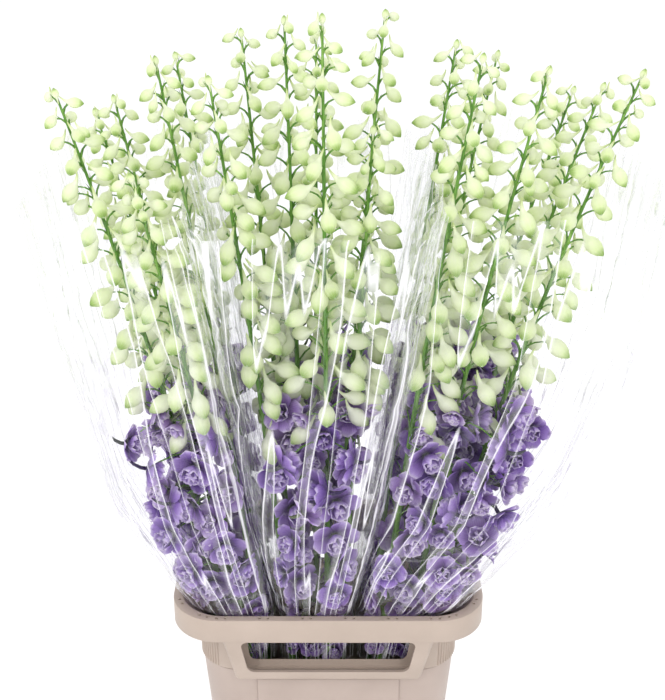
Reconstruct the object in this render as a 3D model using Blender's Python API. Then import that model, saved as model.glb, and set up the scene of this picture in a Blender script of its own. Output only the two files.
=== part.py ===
# Twenty cut delphinium stems in three clear film sleeves, standing in a flower transport bucket with
# a collar. Metres, +Z up, front at -Y, origin under the middle of the bucket on the surface it stands on.

import math

import bmesh
import bpy
from mathutils import Matrix, Vector

# Driving dimensions of the bucket
bucket_height = 0.270
bucket_top = (0.167, 0.117)  # half length and half depth, outside
bucket_foot = (0.146, 0.096)
bucket_corner = 0.052
bucket_wall = 0.0025
bucket_floor = 0.003
foot_chamfer = 0.006
panel_size = (0.186, 0.150)  # raised panel on the front and back: width and height
panel_top = 0.256
panel_depth = 0.003

# Driving dimensions of the collar
rim_height = 0.370
rim_half = (0.200, 0.150)
rim_corner = 0.068
rim_face = 0.011
band_height = 0.033
collar_wall = 0.0025
throat_half = (0.168, 0.118)  # outside of the wall below the band
seat_gap = 0.0003
spigot_depth = 0.018
spigot_clearance = 0.0012
frame_top_half = 0.135
frame_bottom_half = 0.120
frame_bottom = 0.272
frame_face = (0.148, 0.131)  # how far out the frame's face stands at the band and at its foot
window_top_half = 0.110
window_bottom_half = 0.101
window_heights = (0.284, 0.336)
window_corner = 0.010
rim_hole_radius = 0.0016
rim_hole_pair = 0.0106
rim_hole_pitch = 0.054

# Water and the holes in it that the stems stand in
water_level = 0.072
water_gap = 0.0004
hole_radius = 0.0064

# Stems
stem_foot = bucket_floor + 0.0004
stem_radius = 0.0042
stem_tip_radius = 0.0014
stem_bend = 1.45  # 1 is a straight lean, more starts upright and leans out higher up
stem_points = 5
flower_start = 0.372  # height of the lowest bloom
bloom_top = 0.600  # height up to which the flowers are open
bloom_radius = 0.028
bud_radius = 0.0088
bud_length = 0.024
spur_length = 0.017
golden_angle = math.radians(137.5)
leaf_height = 0.276
leaf_sizes = (0.055, 0.045, 0.036)
leaf_thickness = 0.0009
leaf_balls = (  # along the leaf, across it and size, as shares of its length
    (0.35, 0.0, 0.16),
    (0.7, 0.0, 0.22),
    (1.0, 0.0, 0.12),
    (0.45, 0.32, 0.1),
    (0.45, -0.32, 0.1),
    (0.78, 0.22, 0.1),
    (0.78, -0.22, 0.1),
)
blooms_per_stem = 4
turns_tried = 16  # directions tried for a flower whose place is taken, then again a little higher
lifts_tried = 5
lift_step = 0.011
buds_per_stem = 6

# Each stem: foot x, foot y, then the tip. They fan out from the bucket as in a packed bunch.
left_stems = [
    ((-0.112, -0.044), (-0.285, -0.150, 1.035)),
    ((-0.092, -0.062), (-0.205, -0.190, 0.955)),
    ((-0.086, -0.020), (-0.190, -0.060, 1.050)),
    ((-0.116, -0.004), (-0.250, 0.010, 0.990)),
    ((-0.084, 0.052), (-0.190, 0.130, 1.015)),
    ((-0.108, 0.034), (-0.290, 0.105, 0.950)),
]
centre_stems = [
    ((-0.042, -0.060), (-0.125, -0.135, 1.045)),
    ((-0.044, 0.008), (-0.100, 0.020, 1.065)),
    ((0.000, -0.066), (-0.005, -0.165, 1.115)),
    ((-0.030, -0.026), (-0.048, -0.040, 1.090)),
    ((0.018, -0.030), (0.050, -0.110, 0.985)),
    ((0.006, 0.018), (0.065, 0.000, 1.090)),
    ((-0.018, 0.058), (-0.015, 0.160, 1.035)),
]
right_stems = [
    ((0.060, -0.062), (0.160, -0.165, 1.075)),
    ((0.096, -0.050), (0.230, -0.155, 1.060)),
    ((0.112, -0.036), (0.335, -0.125, 1.050)),
    ((0.052, -0.004), (0.150, 0.030, 1.050)),
    ((0.110, 0.008), (0.325, 0.030, 1.000)),
    ((0.070, 0.056), (0.215, 0.165, 1.010)),
    ((0.104, 0.048), (0.310, 0.140, 0.970)),
]

# Film sleeves: at each height, how far the three reach out to the left, the right, the front and the back
film_thickness = 0.0008
film_gap = 0.0005
sleeve_profile = [
    (0.290, 0.150, 0.150, 0.100, 0.100),
    (0.340, 0.158, 0.158, 0.1075, 0.1075),
    (0.3695, 0.1884, 0.1884, 0.1384, 0.1384),
    (0.440, 0.216, 0.222, 0.172, 0.168),
    (0.540, 0.258, 0.288, 0.206, 0.200),
    (0.740, 0.300, 0.350, 0.236, 0.226),
    (0.930, 0.330, 0.372, 0.252, 0.240),
]
film_top = sleeve_profile[-1][0] + 0.002
film_margin = film_thickness + 0.0009
left_parting = (-0.067, -0.148)  # x where two sleeves meet, at the rim and at the top of the film
right_parting = (0.036, 0.120)
outer_corner = 0.062  # plan radius of a sleeve's corners at the ends of the bucket, and where two sleeves meet
inner_corner = 0.028
sleeve_corner_steps = 3

corner_steps = 5


def clear_scene():
    for thing in list(bpy.data.objects):
        bpy.data.objects.remove(thing, do_unlink=True)


def collection_named(name):
    found = bpy.data.collections.get(name)
    if found is None:
        found = bpy.data.collections.new(name)
        bpy.context.scene.collection.children.link(found)
    return found


def material(name, colour, roughness, alpha=1.0):
    made = bpy.data.materials.new(name)
    made.use_nodes = True
    shader = made.node_tree.nodes["Principled BSDF"]
    shader.inputs["Base Color"].default_value = (*colour, 1.0)
    shader.inputs["Roughness"].default_value = roughness
    shader.inputs["Alpha"].default_value = alpha
    return made


def object_from(mesh_data, name, collection, surface=None):
    mesh = bpy.data.meshes.new(name)
    bmesh.ops.recalc_face_normals(mesh_data, faces=mesh_data.faces)
    mesh_data.to_mesh(mesh)
    mesh_data.free()
    made = bpy.data.objects.new(name, mesh)
    if surface is not None:
        mesh.materials.append(surface)
    collection.objects.link(made)
    return made


def apply_modifiers(thing):
    evaluated = thing.evaluated_get(bpy.context.evaluated_depsgraph_get())
    mesh = bpy.data.meshes.new_from_object(evaluated)
    thing.modifiers.clear()
    old = thing.data
    thing.data = mesh
    bpy.data.meshes.remove(old)


def combine(body, others, operation, solver="EXACT"):
    """Joins or cuts body with every object in others by one Boolean on a collection, and applies it."""
    batch = bpy.data.collections.new("batch")
    bpy.context.scene.collection.children.link(batch)
    for other in others:
        for home in list(other.users_collection):
            home.objects.unlink(other)
        batch.objects.link(other)
    boolean = body.modifiers.new(operation.lower(), "BOOLEAN")
    boolean.operation = operation
    boolean.operand_type = "COLLECTION"
    boolean.collection = batch
    boolean.solver = solver
    apply_modifiers(body)
    for other in others:
        bpy.data.objects.remove(other, do_unlink=True)
    bpy.data.collections.remove(batch)


def rounded_rectangle(left, right, front, back, radius, steps, left_radius=None):
    """Corner points of a rounded rectangle in plan, anticlockwise from the front right corner."""
    points = []
    left_radius = left_radius or radius
    corners = [
        (right - radius, front + radius, -90, radius),
        (right - radius, back - radius, 0, radius),
        (left + left_radius, back - left_radius, 90, left_radius),
        (left + left_radius, front + left_radius, 180, left_radius),
    ]
    for x, y, start, radius in corners:
        for step in range(steps):
            angle = math.radians(start + 90 * step / (steps - 1))
            points.append((x + radius * math.cos(angle), y + radius * math.sin(angle)))
    return points


def ring_at(half_x, half_y, radius, height):
    outline = rounded_rectangle(-half_x, half_x, -half_y, half_y, radius, corner_steps)
    return [Vector((x, y, height)) for x, y in outline]


def loft(rings, closed):
    """A skin over rings of equally many points, closed into a tube ring or capped at both ends."""
    skin = bmesh.new()
    rows = [[skin.verts.new(point) for point in ring] for ring in rings]
    pairs = list(zip(rows, rows[1:]))
    if closed:
        pairs.append((rows[-1], rows[0]))
    count = len(rings[0])
    for low, high in pairs:
        for k in range(count):
            after = (k + 1) % count
            skin.faces.new((low[k], low[after], high[after], high[k]))
    if not closed:
        skin.faces.new(list(reversed(rows[0])))
        skin.faces.new(rows[-1])
    return skin


def build_bucket(parts):
    surface = material("bucket_plastic", (0.62, 0.53, 0.46), 0.45)
    wall = bucket_wall
    rings = [
        ring_at(bucket_foot[0] - foot_chamfer, bucket_foot[1] - foot_chamfer, bucket_corner - 0.010, 0.0),
        ring_at(bucket_foot[0], bucket_foot[1], bucket_corner - 0.006, foot_chamfer),
        ring_at(bucket_top[0], bucket_top[1], bucket_corner, bucket_height),
        ring_at(bucket_top[0] - wall, bucket_top[1] - wall, bucket_corner - wall, bucket_height),
        ring_at(bucket_foot[0] - wall, bucket_foot[1] - wall, bucket_corner - 0.009, bucket_floor + 0.004),
        ring_at(bucket_foot[0] - 0.008, bucket_foot[1] - 0.008, bucket_corner - 0.012, bucket_floor),
    ]
    bucket = object_from(loft(rings, closed=False), "bucket", parts, surface)
    panels = [raised_panel(side, parts) for side in (-1, 1)]
    combine(bucket, panels, "UNION")
    return bucket


def bucket_half_depth(height):
    share = height / bucket_height
    return bucket_foot[1] + (bucket_top[1] - bucket_foot[1]) * share


def raised_panel(side, parts):
    """The flat field that stands proud of the bucket's front or back wall and follows its slope."""
    low = panel_top - panel_size[1]
    half = panel_size[0] / 2
    outline = rounded_rectangle(-half, half, low, panel_top, 0.014, 3)
    rings = []
    for out in (-0.0015, panel_depth):
        shrink = 1.0 if out < 0 else 0.975
        middle = (low + panel_top) / 2
        ring = []
        for x, z in outline:
            height = middle + (z - middle) * shrink
            depth = bucket_half_depth(height) + out
            ring.append(Vector((x * shrink, side * depth, height)))
        rings.append(ring)
    return object_from(loft(rings, closed=False), "panel", parts)


def build_collar(parts, cutters):
    surface = material("collar_plastic", (0.66, 0.57, 0.50), 0.42)
    wall = collar_wall
    inner_rim = (rim_half[0] - rim_face, rim_half[1] - rim_face)
    band_foot = rim_height - band_height
    seat = bucket_height + seat_gap
    spigot = (bucket_top[0] - bucket_wall - spigot_clearance, bucket_top[1] - bucket_wall - spigot_clearance)
    throat = throat_half
    rings = [
        ring_at(rim_half[0] - 0.0015, rim_half[1] - 0.0015, rim_corner - 0.0015, rim_height),
        ring_at(rim_half[0], rim_half[1], rim_corner, rim_height - 0.0015),
        ring_at(rim_half[0], rim_half[1], rim_corner, band_foot),
        ring_at(rim_half[0] - wall, rim_half[1] - wall, rim_corner - wall, band_foot),
        ring_at(rim_half[0] - wall, rim_half[1] - wall, rim_corner - wall, rim_height - wall),
        ring_at(inner_rim[0] + wall, inner_rim[1] + wall, rim_corner - rim_face + wall, rim_height - wall),
        ring_at(throat[0], throat[1], bucket_corner, band_foot),
        ring_at(throat[0] - 0.001, throat[1] - 0.001, bucket_corner - 0.001, seat),
        ring_at(spigot[0], spigot[1], bucket_corner - 0.005, seat),
        ring_at(spigot[0] - 0.002, spigot[1] - 0.002, bucket_corner - 0.007, seat - spigot_depth),
        ring_at(spigot[0] - 0.004, spigot[1] - 0.004, bucket_corner - 0.009, seat - spigot_depth),
        ring_at(throat[0] - 2 * wall, throat[1] - 2 * wall, bucket_corner - 0.006, seat + 0.002),
        ring_at(throat[0] - wall, throat[1] - wall, bucket_corner - wall, band_foot),
        ring_at(inner_rim[0], inner_rim[1], rim_corner - rim_face, rim_height - 0.0015),
        ring_at(inner_rim[0] + 0.001, inner_rim[1] + 0.001, rim_corner - rim_face + 0.001, rim_height),
    ]
    collar = object_from(loft(rings, closed=True), "collar", parts, surface)
    combine(collar, [window_frame(side, parts) for side in (-1, 1)], "UNION")
    cuts = [window_cutter(side, cutters) for side in (-1, 1)] + rim_holes(cutters)
    combine(collar, cuts, "DIFFERENCE")
    return collar


def window_frame(side, parts):
    """The thick trapezoid frame round a window, from inside the collar's wall out to its sloping face."""
    top = rim_height - band_height + 0.006
    heights = (frame_bottom, top)
    halves = (frame_bottom_half, frame_top_half + 0.001)
    inner = throat_half[1] - collar_wall / 2
    bevel = 0.006
    rings = []
    low_out, high_out = frame_face[1], frame_face[0]
    steps = ((0.0, inner, inner), (0.0, low_out - bevel, high_out - bevel), (bevel, low_out, high_out))
    for shrink, low_face, high_face in steps:
        low = Vector((halves[0] - shrink, side * low_face, heights[0] + shrink * 0.5))
        high = Vector((halves[1] - shrink, side * high_face, heights[1]))
        rings.append([Vector((-low.x, low.y, low.z)), low, high, Vector((-high.x, high.y, high.z))])
    return object_from(loft(rings, closed=False), "frame", parts)


def window_cutter(side, cutters):
    low, high = window_heights
    outline = rounded_rectangle(-1.0, 1.0, low, high, window_corner, 4)
    rings = []
    for depth in (side * (throat_half[1] - 0.012), side * (rim_half[1] + 0.010)):
        ring = []
        for x, z in outline:
            share = (z - low) / (high - low)
            half = window_bottom_half + (window_top_half - window_bottom_half) * share
            sign = math.copysign(1.0, x)
            ring.append(Vector((sign * (half - (1.0 - abs(x))), depth, z)))
        rings.append(ring)
    return object_from(loft(rings, closed=False), "window", cutters)


def rim_holes(cutters):
    """Pairs of small drain holes through the rim's top face, evenly along the front and back."""
    holes = []
    middle = rim_half[1] - rim_face * 0.52
    for side in (-1, 1):
        for k in range(-3, 3):
            for shift in (-0.5, 0.5):
                x = (k + 0.5) * rim_hole_pitch + shift * rim_hole_pair
                hole = bmesh.new()
                bmesh.ops.create_cone(
                    hole, cap_ends=True, segments=4, radius1=rim_hole_radius, radius2=rim_hole_radius,
                    depth=0.012, matrix=Matrix.Translation((x, side * middle, rim_height)),
                )
                holes.append(object_from(hole, "rim_hole", cutters))
    return holes


def stem_point(foot, tip, height):
    """A stem's middle at a height: upright in the water, then leaning out to its tip."""
    share = max(0.0, (height - water_level) / (tip[2] - water_level)) ** stem_bend
    return Vector((foot[0] + (tip[0] - foot[0]) * share, foot[1] + (tip[1] - foot[1]) * share, height))


def inside_ring(height, gap):
    """The bucket's inside wall at a height, drawn in by a gap."""
    low = bucket_floor + 0.004
    share = (height - low) / (bucket_height - low)
    half_x = bucket_foot[0] - bucket_wall + (bucket_top[0] - bucket_foot[0]) * share
    half_y = bucket_foot[1] - bucket_wall + (bucket_top[1] - bucket_foot[1]) * share
    corner = bucket_corner - 0.009 + (0.009 - bucket_wall) * share
    return ring_at(half_x - gap, half_y - gap, corner - gap, height)


def build_water(parts, cutters, stems):
    surface = material("water", (0.75, 0.85, 0.86), 0.05)
    floor_inset = 0.008 + 2 * water_gap
    floor_ring = ring_at(
        bucket_foot[0] - floor_inset, bucket_foot[1] - floor_inset, bucket_corner - 0.012 - water_gap,
        bucket_floor + water_gap,
    )
    rings = [floor_ring, inside_ring(bucket_floor + 0.0046, 2 * water_gap), inside_ring(water_level, water_gap)]
    water = object_from(loft(rings, closed=False), "water", parts, surface)
    holes = []
    for _, foot, _ in stems:
        hole = bmesh.new()
        bmesh.ops.create_cone(
            hole, cap_ends=True, segments=5, radius1=hole_radius, radius2=hole_radius,
            depth=0.2, matrix=Matrix.Translation((foot[0], foot[1], water_level / 2)),
        )
        holes.append(object_from(hole, "hole", cutters))
    combine(water, holes, "DIFFERENCE")
    return water


def parting_at(parting, height):
    low, high = sleeve_profile[2][0], sleeve_profile[-1][0]
    return parting[0] + (parting[1] - parting[0]) * max(0.0, (height - low) / (high - low))


def sleeve_section(name, height):
    """How far a sleeve reaches at a height: left, right, front and back."""
    rows = sleeve_profile
    for low, high in zip(rows, rows[1:]):
        if height <= high[0] or high is rows[-1]:
            share = (height - low[0]) / (high[0] - low[0])
            left, right, front, back = (a + (b - a) * share for a, b in zip(low[1:], high[1:]))
            break
    gap = film_gap / 2
    left_edge, right_edge = parting_at(left_parting, height), parting_at(right_parting, height)
    sides = {
        "left": (-left, left_edge - gap),
        "centre": (left_edge + gap, right_edge - gap),
        "right": (right_edge + gap, right),
    }
    return (*sides[name], -front, back)


def sleeve_corners(name):
    """Plan radius of a sleeve's left and right corners."""
    return (outer_corner if name == "left" else inner_corner, outer_corner if name == "right" else inner_corner)


def build_sleeve(parts, name):
    surface = material(f"film_{name}", (0.93, 0.93, 0.97), 0.12, alpha=0.35)
    outer, inner = [], []
    for row in sleeve_profile:
        left, right, front, back = sleeve_section(name, row[0])
        for ring, inset in ((outer, 0.0), (inner, film_thickness)):
            on_left, on_right = sleeve_corners(name)
            outline = rounded_rectangle(
                left + inset, right - inset, front + inset, back - inset, on_right - inset, sleeve_corner_steps,
                on_left - inset,
            )
            ring.append([Vector((x, y, row[0])) for x, y in outline])
    return object_from(loft(outer + inner[::-1], closed=True), f"sleeve_{name}", parts, surface)


def room_in_sleeve(name, spot):
    """How far a point lies inside its sleeve's wall, measured level."""
    left, right, front, back = sleeve_section(name, max(spot.z, sleeve_profile[0][0]))
    beside, before = min(spot.x - left, right - spot.x), min(spot.y - front, back - spot.y)
    corner = sleeve_corners(name)[0 if spot.x - left < right - spot.x else 1]
    if beside < corner and before < corner:
        return corner - math.hypot(corner - beside, corner - before)
    return min(beside, before)


def ball_fits(name, owner, centre, radius, taken):
    """True if a ball keeps inside its sleeve and clear of what other stems and its own flowers fill."""
    for rise, share in ((-0.75, 0.68), (0.0, 1.0), (0.75, 0.68)):
        spot = centre + Vector((0, 0, rise * radius))
        if spot.z < film_top and room_in_sleeve(name, spot) < radius * share * 1.06 + film_margin:
            return False
    for other, spot, size in taken:
        apart = (spot - centre).length
        if other != owner and apart < size + radius + 0.0012:
            return False
        if other == owner and size > 0.006 and apart < (size + radius) * 0.86:
            return False
    return True


def flower_balls(root, out, up, reach, open_flower, scale):
    """Where a flower on its stalk sits: the middle of the flower and the balls that it fills."""
    end = root + out * reach * 0.86 + up * reach * 0.5
    if open_flower:
        facing = (out - up * 0.12).normalized()
        middle = end + facing * 0.006
        balls = [(middle + facing * 0.004, bloom_radius * scale), (end - facing * 0.008 + up * 0.006, 0.007)]
    else:
        facing = (out - up * 0.45).normalized()
        middle = end + facing * bud_length * 0.30 * scale
        tail = end - facing * spur_length * scale * 0.7 + up * 0.003
        balls = [(middle, bud_radius * scale * 1.1), (tail, 0.004)]
        balls.append((middle + facing * 0.007 * scale, bud_radius * scale))
    balls.append(((root * 2 + end) / 3, 0.003))
    balls.append(((root + end * 2) / 3, 0.003))
    return end, facing, balls


def place_flowers(stems):
    """Gives every stem its blooms and buds by the golden angle, turned on where a neighbour is in the way."""
    taken = []
    for number, (name, foot, tip) in enumerate(stems):
        height = water_level
        while height < tip[2]:
            taken.append((number, stem_point(foot, tip, height), 0.0055))
            height += 0.012
    placed = {number: [] for number in range(len(stems))}
    for number, (name, foot, tip) in enumerate(stems):
        place_leaf(number, name, foot, tip, taken, placed)
    for wave in ("bloom", "bud"):
        count = blooms_per_stem if wave == "bloom" else buds_per_stem
        for k in range(count):
            for number, (name, foot, tip) in enumerate(stems):
                place_one(wave, k, number, name, foot, tip, taken, placed)
    return placed


def place_one(wave, k, number, name, foot, tip, taken, placed):
    open_flower = wave == "bloom"
    if open_flower:
        low, high, count, scale = flower_start, bloom_top, blooms_per_stem, 1.0
    else:
        low, high, count = bloom_top + 0.022, tip[2] - 0.012, buds_per_stem
        scale = 1.0 - 0.42 * (k / (count - 1)) ** 2
    share = (k + 0.5 * (number % 2 if open_flower else 0.5)) / (count - 0.25)
    height = low + (high - low) * share
    reach = 0.046 if open_flower else 0.034 - 0.014 * k / (count - 1)
    for attempt in range(turns_tried * lifts_tried):
        turn = golden_angle * (k + number * 2.3) + 2 * math.pi / turns_tried * attempt * (-1) ** attempt
        lift = (attempt // turns_tried) * lift_step
        root = stem_point(foot, tip, height + lift)
        up = (stem_point(foot, tip, height + lift + 0.01) - root).normalized()
        out = Vector((math.cos(turn), math.sin(turn), 0.0))
        out = (out - up * out.dot(up)).normalized()
        end, facing, balls = flower_balls(root, out, up, reach, open_flower, scale)
        if all(ball_fits(name, number, centre, radius, taken) for centre, radius in balls):
            taken.extend((number, centre, radius) for centre, radius in balls)
            placed[number].append((wave, root, end, facing, up, scale))
            return


def place_leaf(number, name, foot, tip, taken, placed):
    """Finds the first direction and size in which a leaf folds up beside its stem without touching others."""
    for attempt in range(turns_tried * len(leaf_sizes)):
        turn = golden_angle * number + 2 * math.pi / turns_tried * attempt
        length = leaf_sizes[attempt // turns_tried]
        root = stem_point(foot, tip, leaf_height)
        out = Vector((math.cos(turn), math.sin(turn), 0.0))
        along, across = leaf_axes(out)
        balls = []
        for far, aside, size in leaf_balls:
            balls.append((root + along * length * far + across * length * aside, length * size))
        if all(ball_fits(name, number, centre, size, taken) for centre, size in balls):
            taken.extend((number, centre, size) for centre, size in balls)
            placed[number].append(("leaf", root, out, length))
            return


def leaf_axes(out):
    along = (Vector((0, 0, 0.94)) + out * 0.34).normalized()
    return along, along.cross(out).normalized()


def turn_to(facing, up):
    """A rotation whose Z runs along facing and whose Y stays as near up as it can."""
    side = up.cross(facing).normalized()
    return Matrix((side, facing.cross(side), facing)).transposed().to_4x4()


def bloom_mesh(scale):
    """An open double bloom: five broad outer sepals, five petals raised inside them, and a spur behind."""
    flower = bmesh.new()
    bmesh.ops.create_uvsphere(flower, u_segments=15, v_segments=3, radius=1.0)
    for point in flower.verts:
        around = math.atan2(point.co.y, point.co.x)
        if point.co.z > 0.9:
            point.co = Vector((0, 0, 0.008))
        elif point.co.z < -0.9:
            point.co = Vector((0, 0.010, -0.022))
        elif point.co.z > 0:
            lobe = petal_lobe(around + math.pi / 5)
            reach = bloom_radius * (0.36 + 0.26 * lobe)
            point.co = Vector((reach * math.cos(around), reach * math.sin(around), 0.004 + 0.012 * lobe))
        else:
            lobe = petal_lobe(around)
            reach = bloom_radius * (0.52 + 0.48 * lobe)
            point.co = Vector((reach * math.cos(around), reach * math.sin(around), -0.003 + 0.007 * lobe))
    bmesh.ops.scale(flower, verts=flower.verts, vec=(scale, scale, scale))
    return flower


def petal_lobe(around):
    """0 in the notch between two of five petals and 1 along the rounded end of each."""
    turn = (around / (2 * math.pi / 5)) % 1.0
    return 0.0 if abs(turn - round(turn)) < 0.1 else 1.0


def bud_mesh(scale):
    """A closed bud: an egg with five faces that runs out behind into a spur bent upward."""
    bud = bmesh.new()
    bmesh.ops.create_uvsphere(bud, u_segments=5, v_segments=3, radius=1.0)
    for point in bud.verts:
        around = math.atan2(point.co.y, point.co.x)
        if point.co.z > 0.9:
            point.co = Vector((0, 0, bud_length * 0.72))
        elif point.co.z < -0.9:
            point.co = Vector((0, 0.006, -spur_length))
        else:
            reach, along = (bud_radius, bud_length * 0.42) if point.co.z > 0 else (bud_radius * 0.78, -0.001)
            point.co = Vector((reach * math.cos(around), reach * math.sin(around), along))
    bmesh.ops.scale(bud, verts=bud.verts, vec=(scale, scale, scale))
    return bud


def leaf_object(root, out, length, parts):
    """A cut palm-shaped leaf of five pointed lobes on a short stalk, folded up beside its stem."""
    along, across = leaf_axes(out)
    face = along.cross(across).normalized()
    stalk = length * 0.2
    outline = [(-0.0022, 0.0)]
    for k in range(5):
        angle = math.radians(-64 + 32 * k)
        reach = length * (1.0 - 0.17 * abs(k - 2))
        outline.append((reach * math.sin(angle) * 0.62, stalk + reach * math.cos(angle) * 0.86))
        if k < 4:
            notch = math.radians(-48 + 32 * k)
            outline.append((length * 0.30 * math.sin(notch), stalk + length * 0.34 * math.cos(notch)))
    outline.append((0.0022, 0.0))
    rings = []
    for side in (-0.5, 0.5):
        rings.append([root + across * x + along * y + face * leaf_thickness * side for x, y in outline])
    return object_from(loft(rings, closed=False), "leaf", parts)


def stem_object(name, foot, tip, parts, surface):
    """The stem as a tapered tube, upright in the water and nodding a little at its tip."""
    curve = bpy.data.curves.new(name, "CURVE")
    curve.dimensions = "3D"
    curve.bevel_depth = 1.0
    curve.bevel_resolution = 1
    curve.use_fill_caps = True
    heights = [stem_foot, water_level + 0.006]
    for k in range(1, stem_points):
        heights.append(water_level + (tip[2] - water_level) * (k / (stem_points - 1)))
    line = curve.splines.new("POLY")
    line.points.add(len(heights) - 1)
    for k, height in enumerate(heights):
        spot = stem_point(foot, tip, height)
        share = max(0.0, (height - 0.35) / (tip[2] - 0.35))
        line.points[k].co = (*spot, 1.0)
        line.points[k].radius = stem_radius + (stem_tip_radius - stem_radius) * share
    drawn = bpy.data.objects.new("stem_curve", curve)
    parts.objects.link(drawn)
    mesh = bpy.data.meshes.new_from_object(drawn.evaluated_get(bpy.context.evaluated_depsgraph_get()))
    bpy.data.objects.remove(drawn, do_unlink=True)
    tube = bmesh.new()
    tube.from_mesh(mesh)
    bmesh.ops.remove_doubles(tube, verts=tube.verts, dist=0.00001)
    return object_from(tube, name, parts, surface)


def stalk_object(root, end, thickness, parts):
    """A three-sided flower stalk from inside the stem to inside the flower."""
    run = end - root
    stalk = bmesh.new()
    middle = Matrix.Translation((root + end) / 2)
    turn = run.to_track_quat("Z", "Y").to_matrix().to_4x4()
    bmesh.ops.create_cone(
        stalk, cap_ends=True, segments=3, radius1=thickness * 1.25, radius2=thickness, depth=run.length,
        matrix=middle @ turn,
    )
    return object_from(stalk, "stalk", parts)


def build_stem(name, foot, tip, flowers, parts, surface):
    stem = stem_object(name, foot, tip, parts, surface)
    pieces = []
    for kind, *place in flowers:
        if kind == "leaf":
            pieces.append(leaf_object(*place, parts))
            continue
        root, end, facing, up, scale = place
        mesh = bloom_mesh(scale) if kind == "bloom" else bud_mesh(scale)
        bmesh.ops.transform(mesh, matrix=Matrix.Translation(end) @ turn_to(facing, up), verts=mesh.verts)
        pieces.append(object_from(mesh, kind, parts))
        pieces.append(stalk_object(root, end + facing * 0.003, 0.0013, parts))
    crown = bud_mesh(0.5)
    top = stem_point(foot, tip, tip[2])
    lean = (top - stem_point(foot, tip, tip[2] - 0.03)).normalized()
    turn = turn_to(lean, Vector((0, -1, 0)))
    bmesh.ops.transform(crown, matrix=Matrix.Translation(top) @ turn, verts=crown.verts)
    pieces.append(object_from(crown, "crown", parts))
    combine(stem, pieces, "UNION", "MANIFOLD")
    return stem


def main():
    clear_scene()
    parts = collection_named("delphinium_bucket")
    cutters = collection_named("cutters")
    stems = []
    for name, group in (("left", left_stems), ("centre", centre_stems), ("right", right_stems)):
        stems.extend((name, foot, tip) for foot, tip in group)
    build_bucket(parts)
    build_collar(parts, cutters)
    build_water(parts, cutters, stems)
    for name in ("left", "centre", "right"):
        build_sleeve(parts, name)
    placed = place_flowers(stems)
    counts = {}
    for number, (name, foot, tip) in enumerate(stems):
        counts[name] = counts.get(name, 0) + 1
        surface = material(f"stem_{name}_{counts[name]}_green", (0.33, 0.45, 0.16), 0.5)
        build_stem(f"stem_{name}_{counts[name]}", foot, tip, placed[number], parts, surface)
    print("triangles", sum(sum(len(f.vertices) - 2 for f in o.data.polygons) for o in parts.objects))


main()
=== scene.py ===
import math
import random

import bpy
import numpy as np
from mathutils import Matrix, Vector, noise


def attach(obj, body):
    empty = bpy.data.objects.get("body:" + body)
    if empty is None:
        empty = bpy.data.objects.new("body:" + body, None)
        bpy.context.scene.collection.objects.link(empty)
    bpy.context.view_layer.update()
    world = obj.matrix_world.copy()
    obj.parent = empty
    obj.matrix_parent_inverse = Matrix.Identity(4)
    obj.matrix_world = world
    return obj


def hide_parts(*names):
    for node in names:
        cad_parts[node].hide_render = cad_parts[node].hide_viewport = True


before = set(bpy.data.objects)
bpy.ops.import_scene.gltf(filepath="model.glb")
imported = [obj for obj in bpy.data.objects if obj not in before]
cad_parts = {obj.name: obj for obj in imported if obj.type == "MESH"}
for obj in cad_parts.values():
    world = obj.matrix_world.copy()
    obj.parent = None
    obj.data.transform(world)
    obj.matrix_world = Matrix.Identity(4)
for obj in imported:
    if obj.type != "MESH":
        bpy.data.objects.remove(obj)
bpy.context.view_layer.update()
random.seed(11)

# Sizes are metres, z up, the front of the bucket at -y.


def linear(hexColour):
    values = [int(hexColour[k:k + 2], 16) / 255 for k in (1, 3, 5)]
    return tuple(v / 12.92 if v <= 0.04045 else ((v + 0.055) / 1.055) ** 2.4 for v in values)


def linkInputs(tree, node, sources):
    # a source is a socket, or a node whose first output is meant
    for name, source in sources.items():
        tree.links.new(source.outputs[0] if hasattr(source, "outputs") else source, node.inputs[name])


def addNode(tree, kind, settings=None, links=None):
    # settings name inputs, properties or, on a colour ramp, its stops
    node = tree.nodes.new("ShaderNode" + kind)
    for name, value in (settings or {}).items():
        if name == "stops":
            elements = node.color_ramp.elements
            while len(elements) < len(value):
                elements.new(0.5)
            for element, (place, colour) in zip(elements, value):
                element.position = place
                element.color = (*linear(colour), 1.0)
        elif isinstance(name, int) or name in node.inputs:
            node.inputs[name].default_value = value
        else:
            setattr(node, name, value)
    linkInputs(tree, node, links or {})
    return node


def newMaterial(name, **settings):
    made = bpy.data.materials.new(name)
    made.use_nodes = True
    tree = made.node_tree
    shader = tree.nodes["Principled BSDF"]
    for socket, value in settings.items():
        shader.inputs[socket.replace("_", " ")].default_value = value
    return made, tree, shader


def makePlastic(name, colour, deep):
    # polypropylene, injection moulded: even satin skin, faint flow clouds and fine scuffs
    made, tree, shader = newMaterial(name, Roughness=0.42, IOR=1.49)
    where = addNode(tree, "TexCoord").outputs["Object"]
    clouds = addNode(tree, "TexNoise", {"Scale": 14.0, "Detail": 4.0}, {"Vector": where})
    tint = addNode(tree, "ValToRGB", {"stops": [(0.3, deep), (0.7, colour)]}, {"Fac": clouds})
    # mould grain and scuffs of about 0.4 mm, drawn 2.4 mm wide so that they show
    scuffs = addNode(tree, "TexNoise", {"Scale": 420.0, "Detail": 6.0}, {"Vector": where})
    rough = addNode(tree, "MapRange", {"To Min": 0.36, "To Max": 0.52}, {"Value": scuffs})
    bump = addNode(tree, "Bump", {"Strength": 0.12, "Distance": 0.0004}, {"Height": scuffs})
    linkInputs(tree, shader, {"Base Color": tint, "Roughness": rough, "Normal": bump})
    return made


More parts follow.
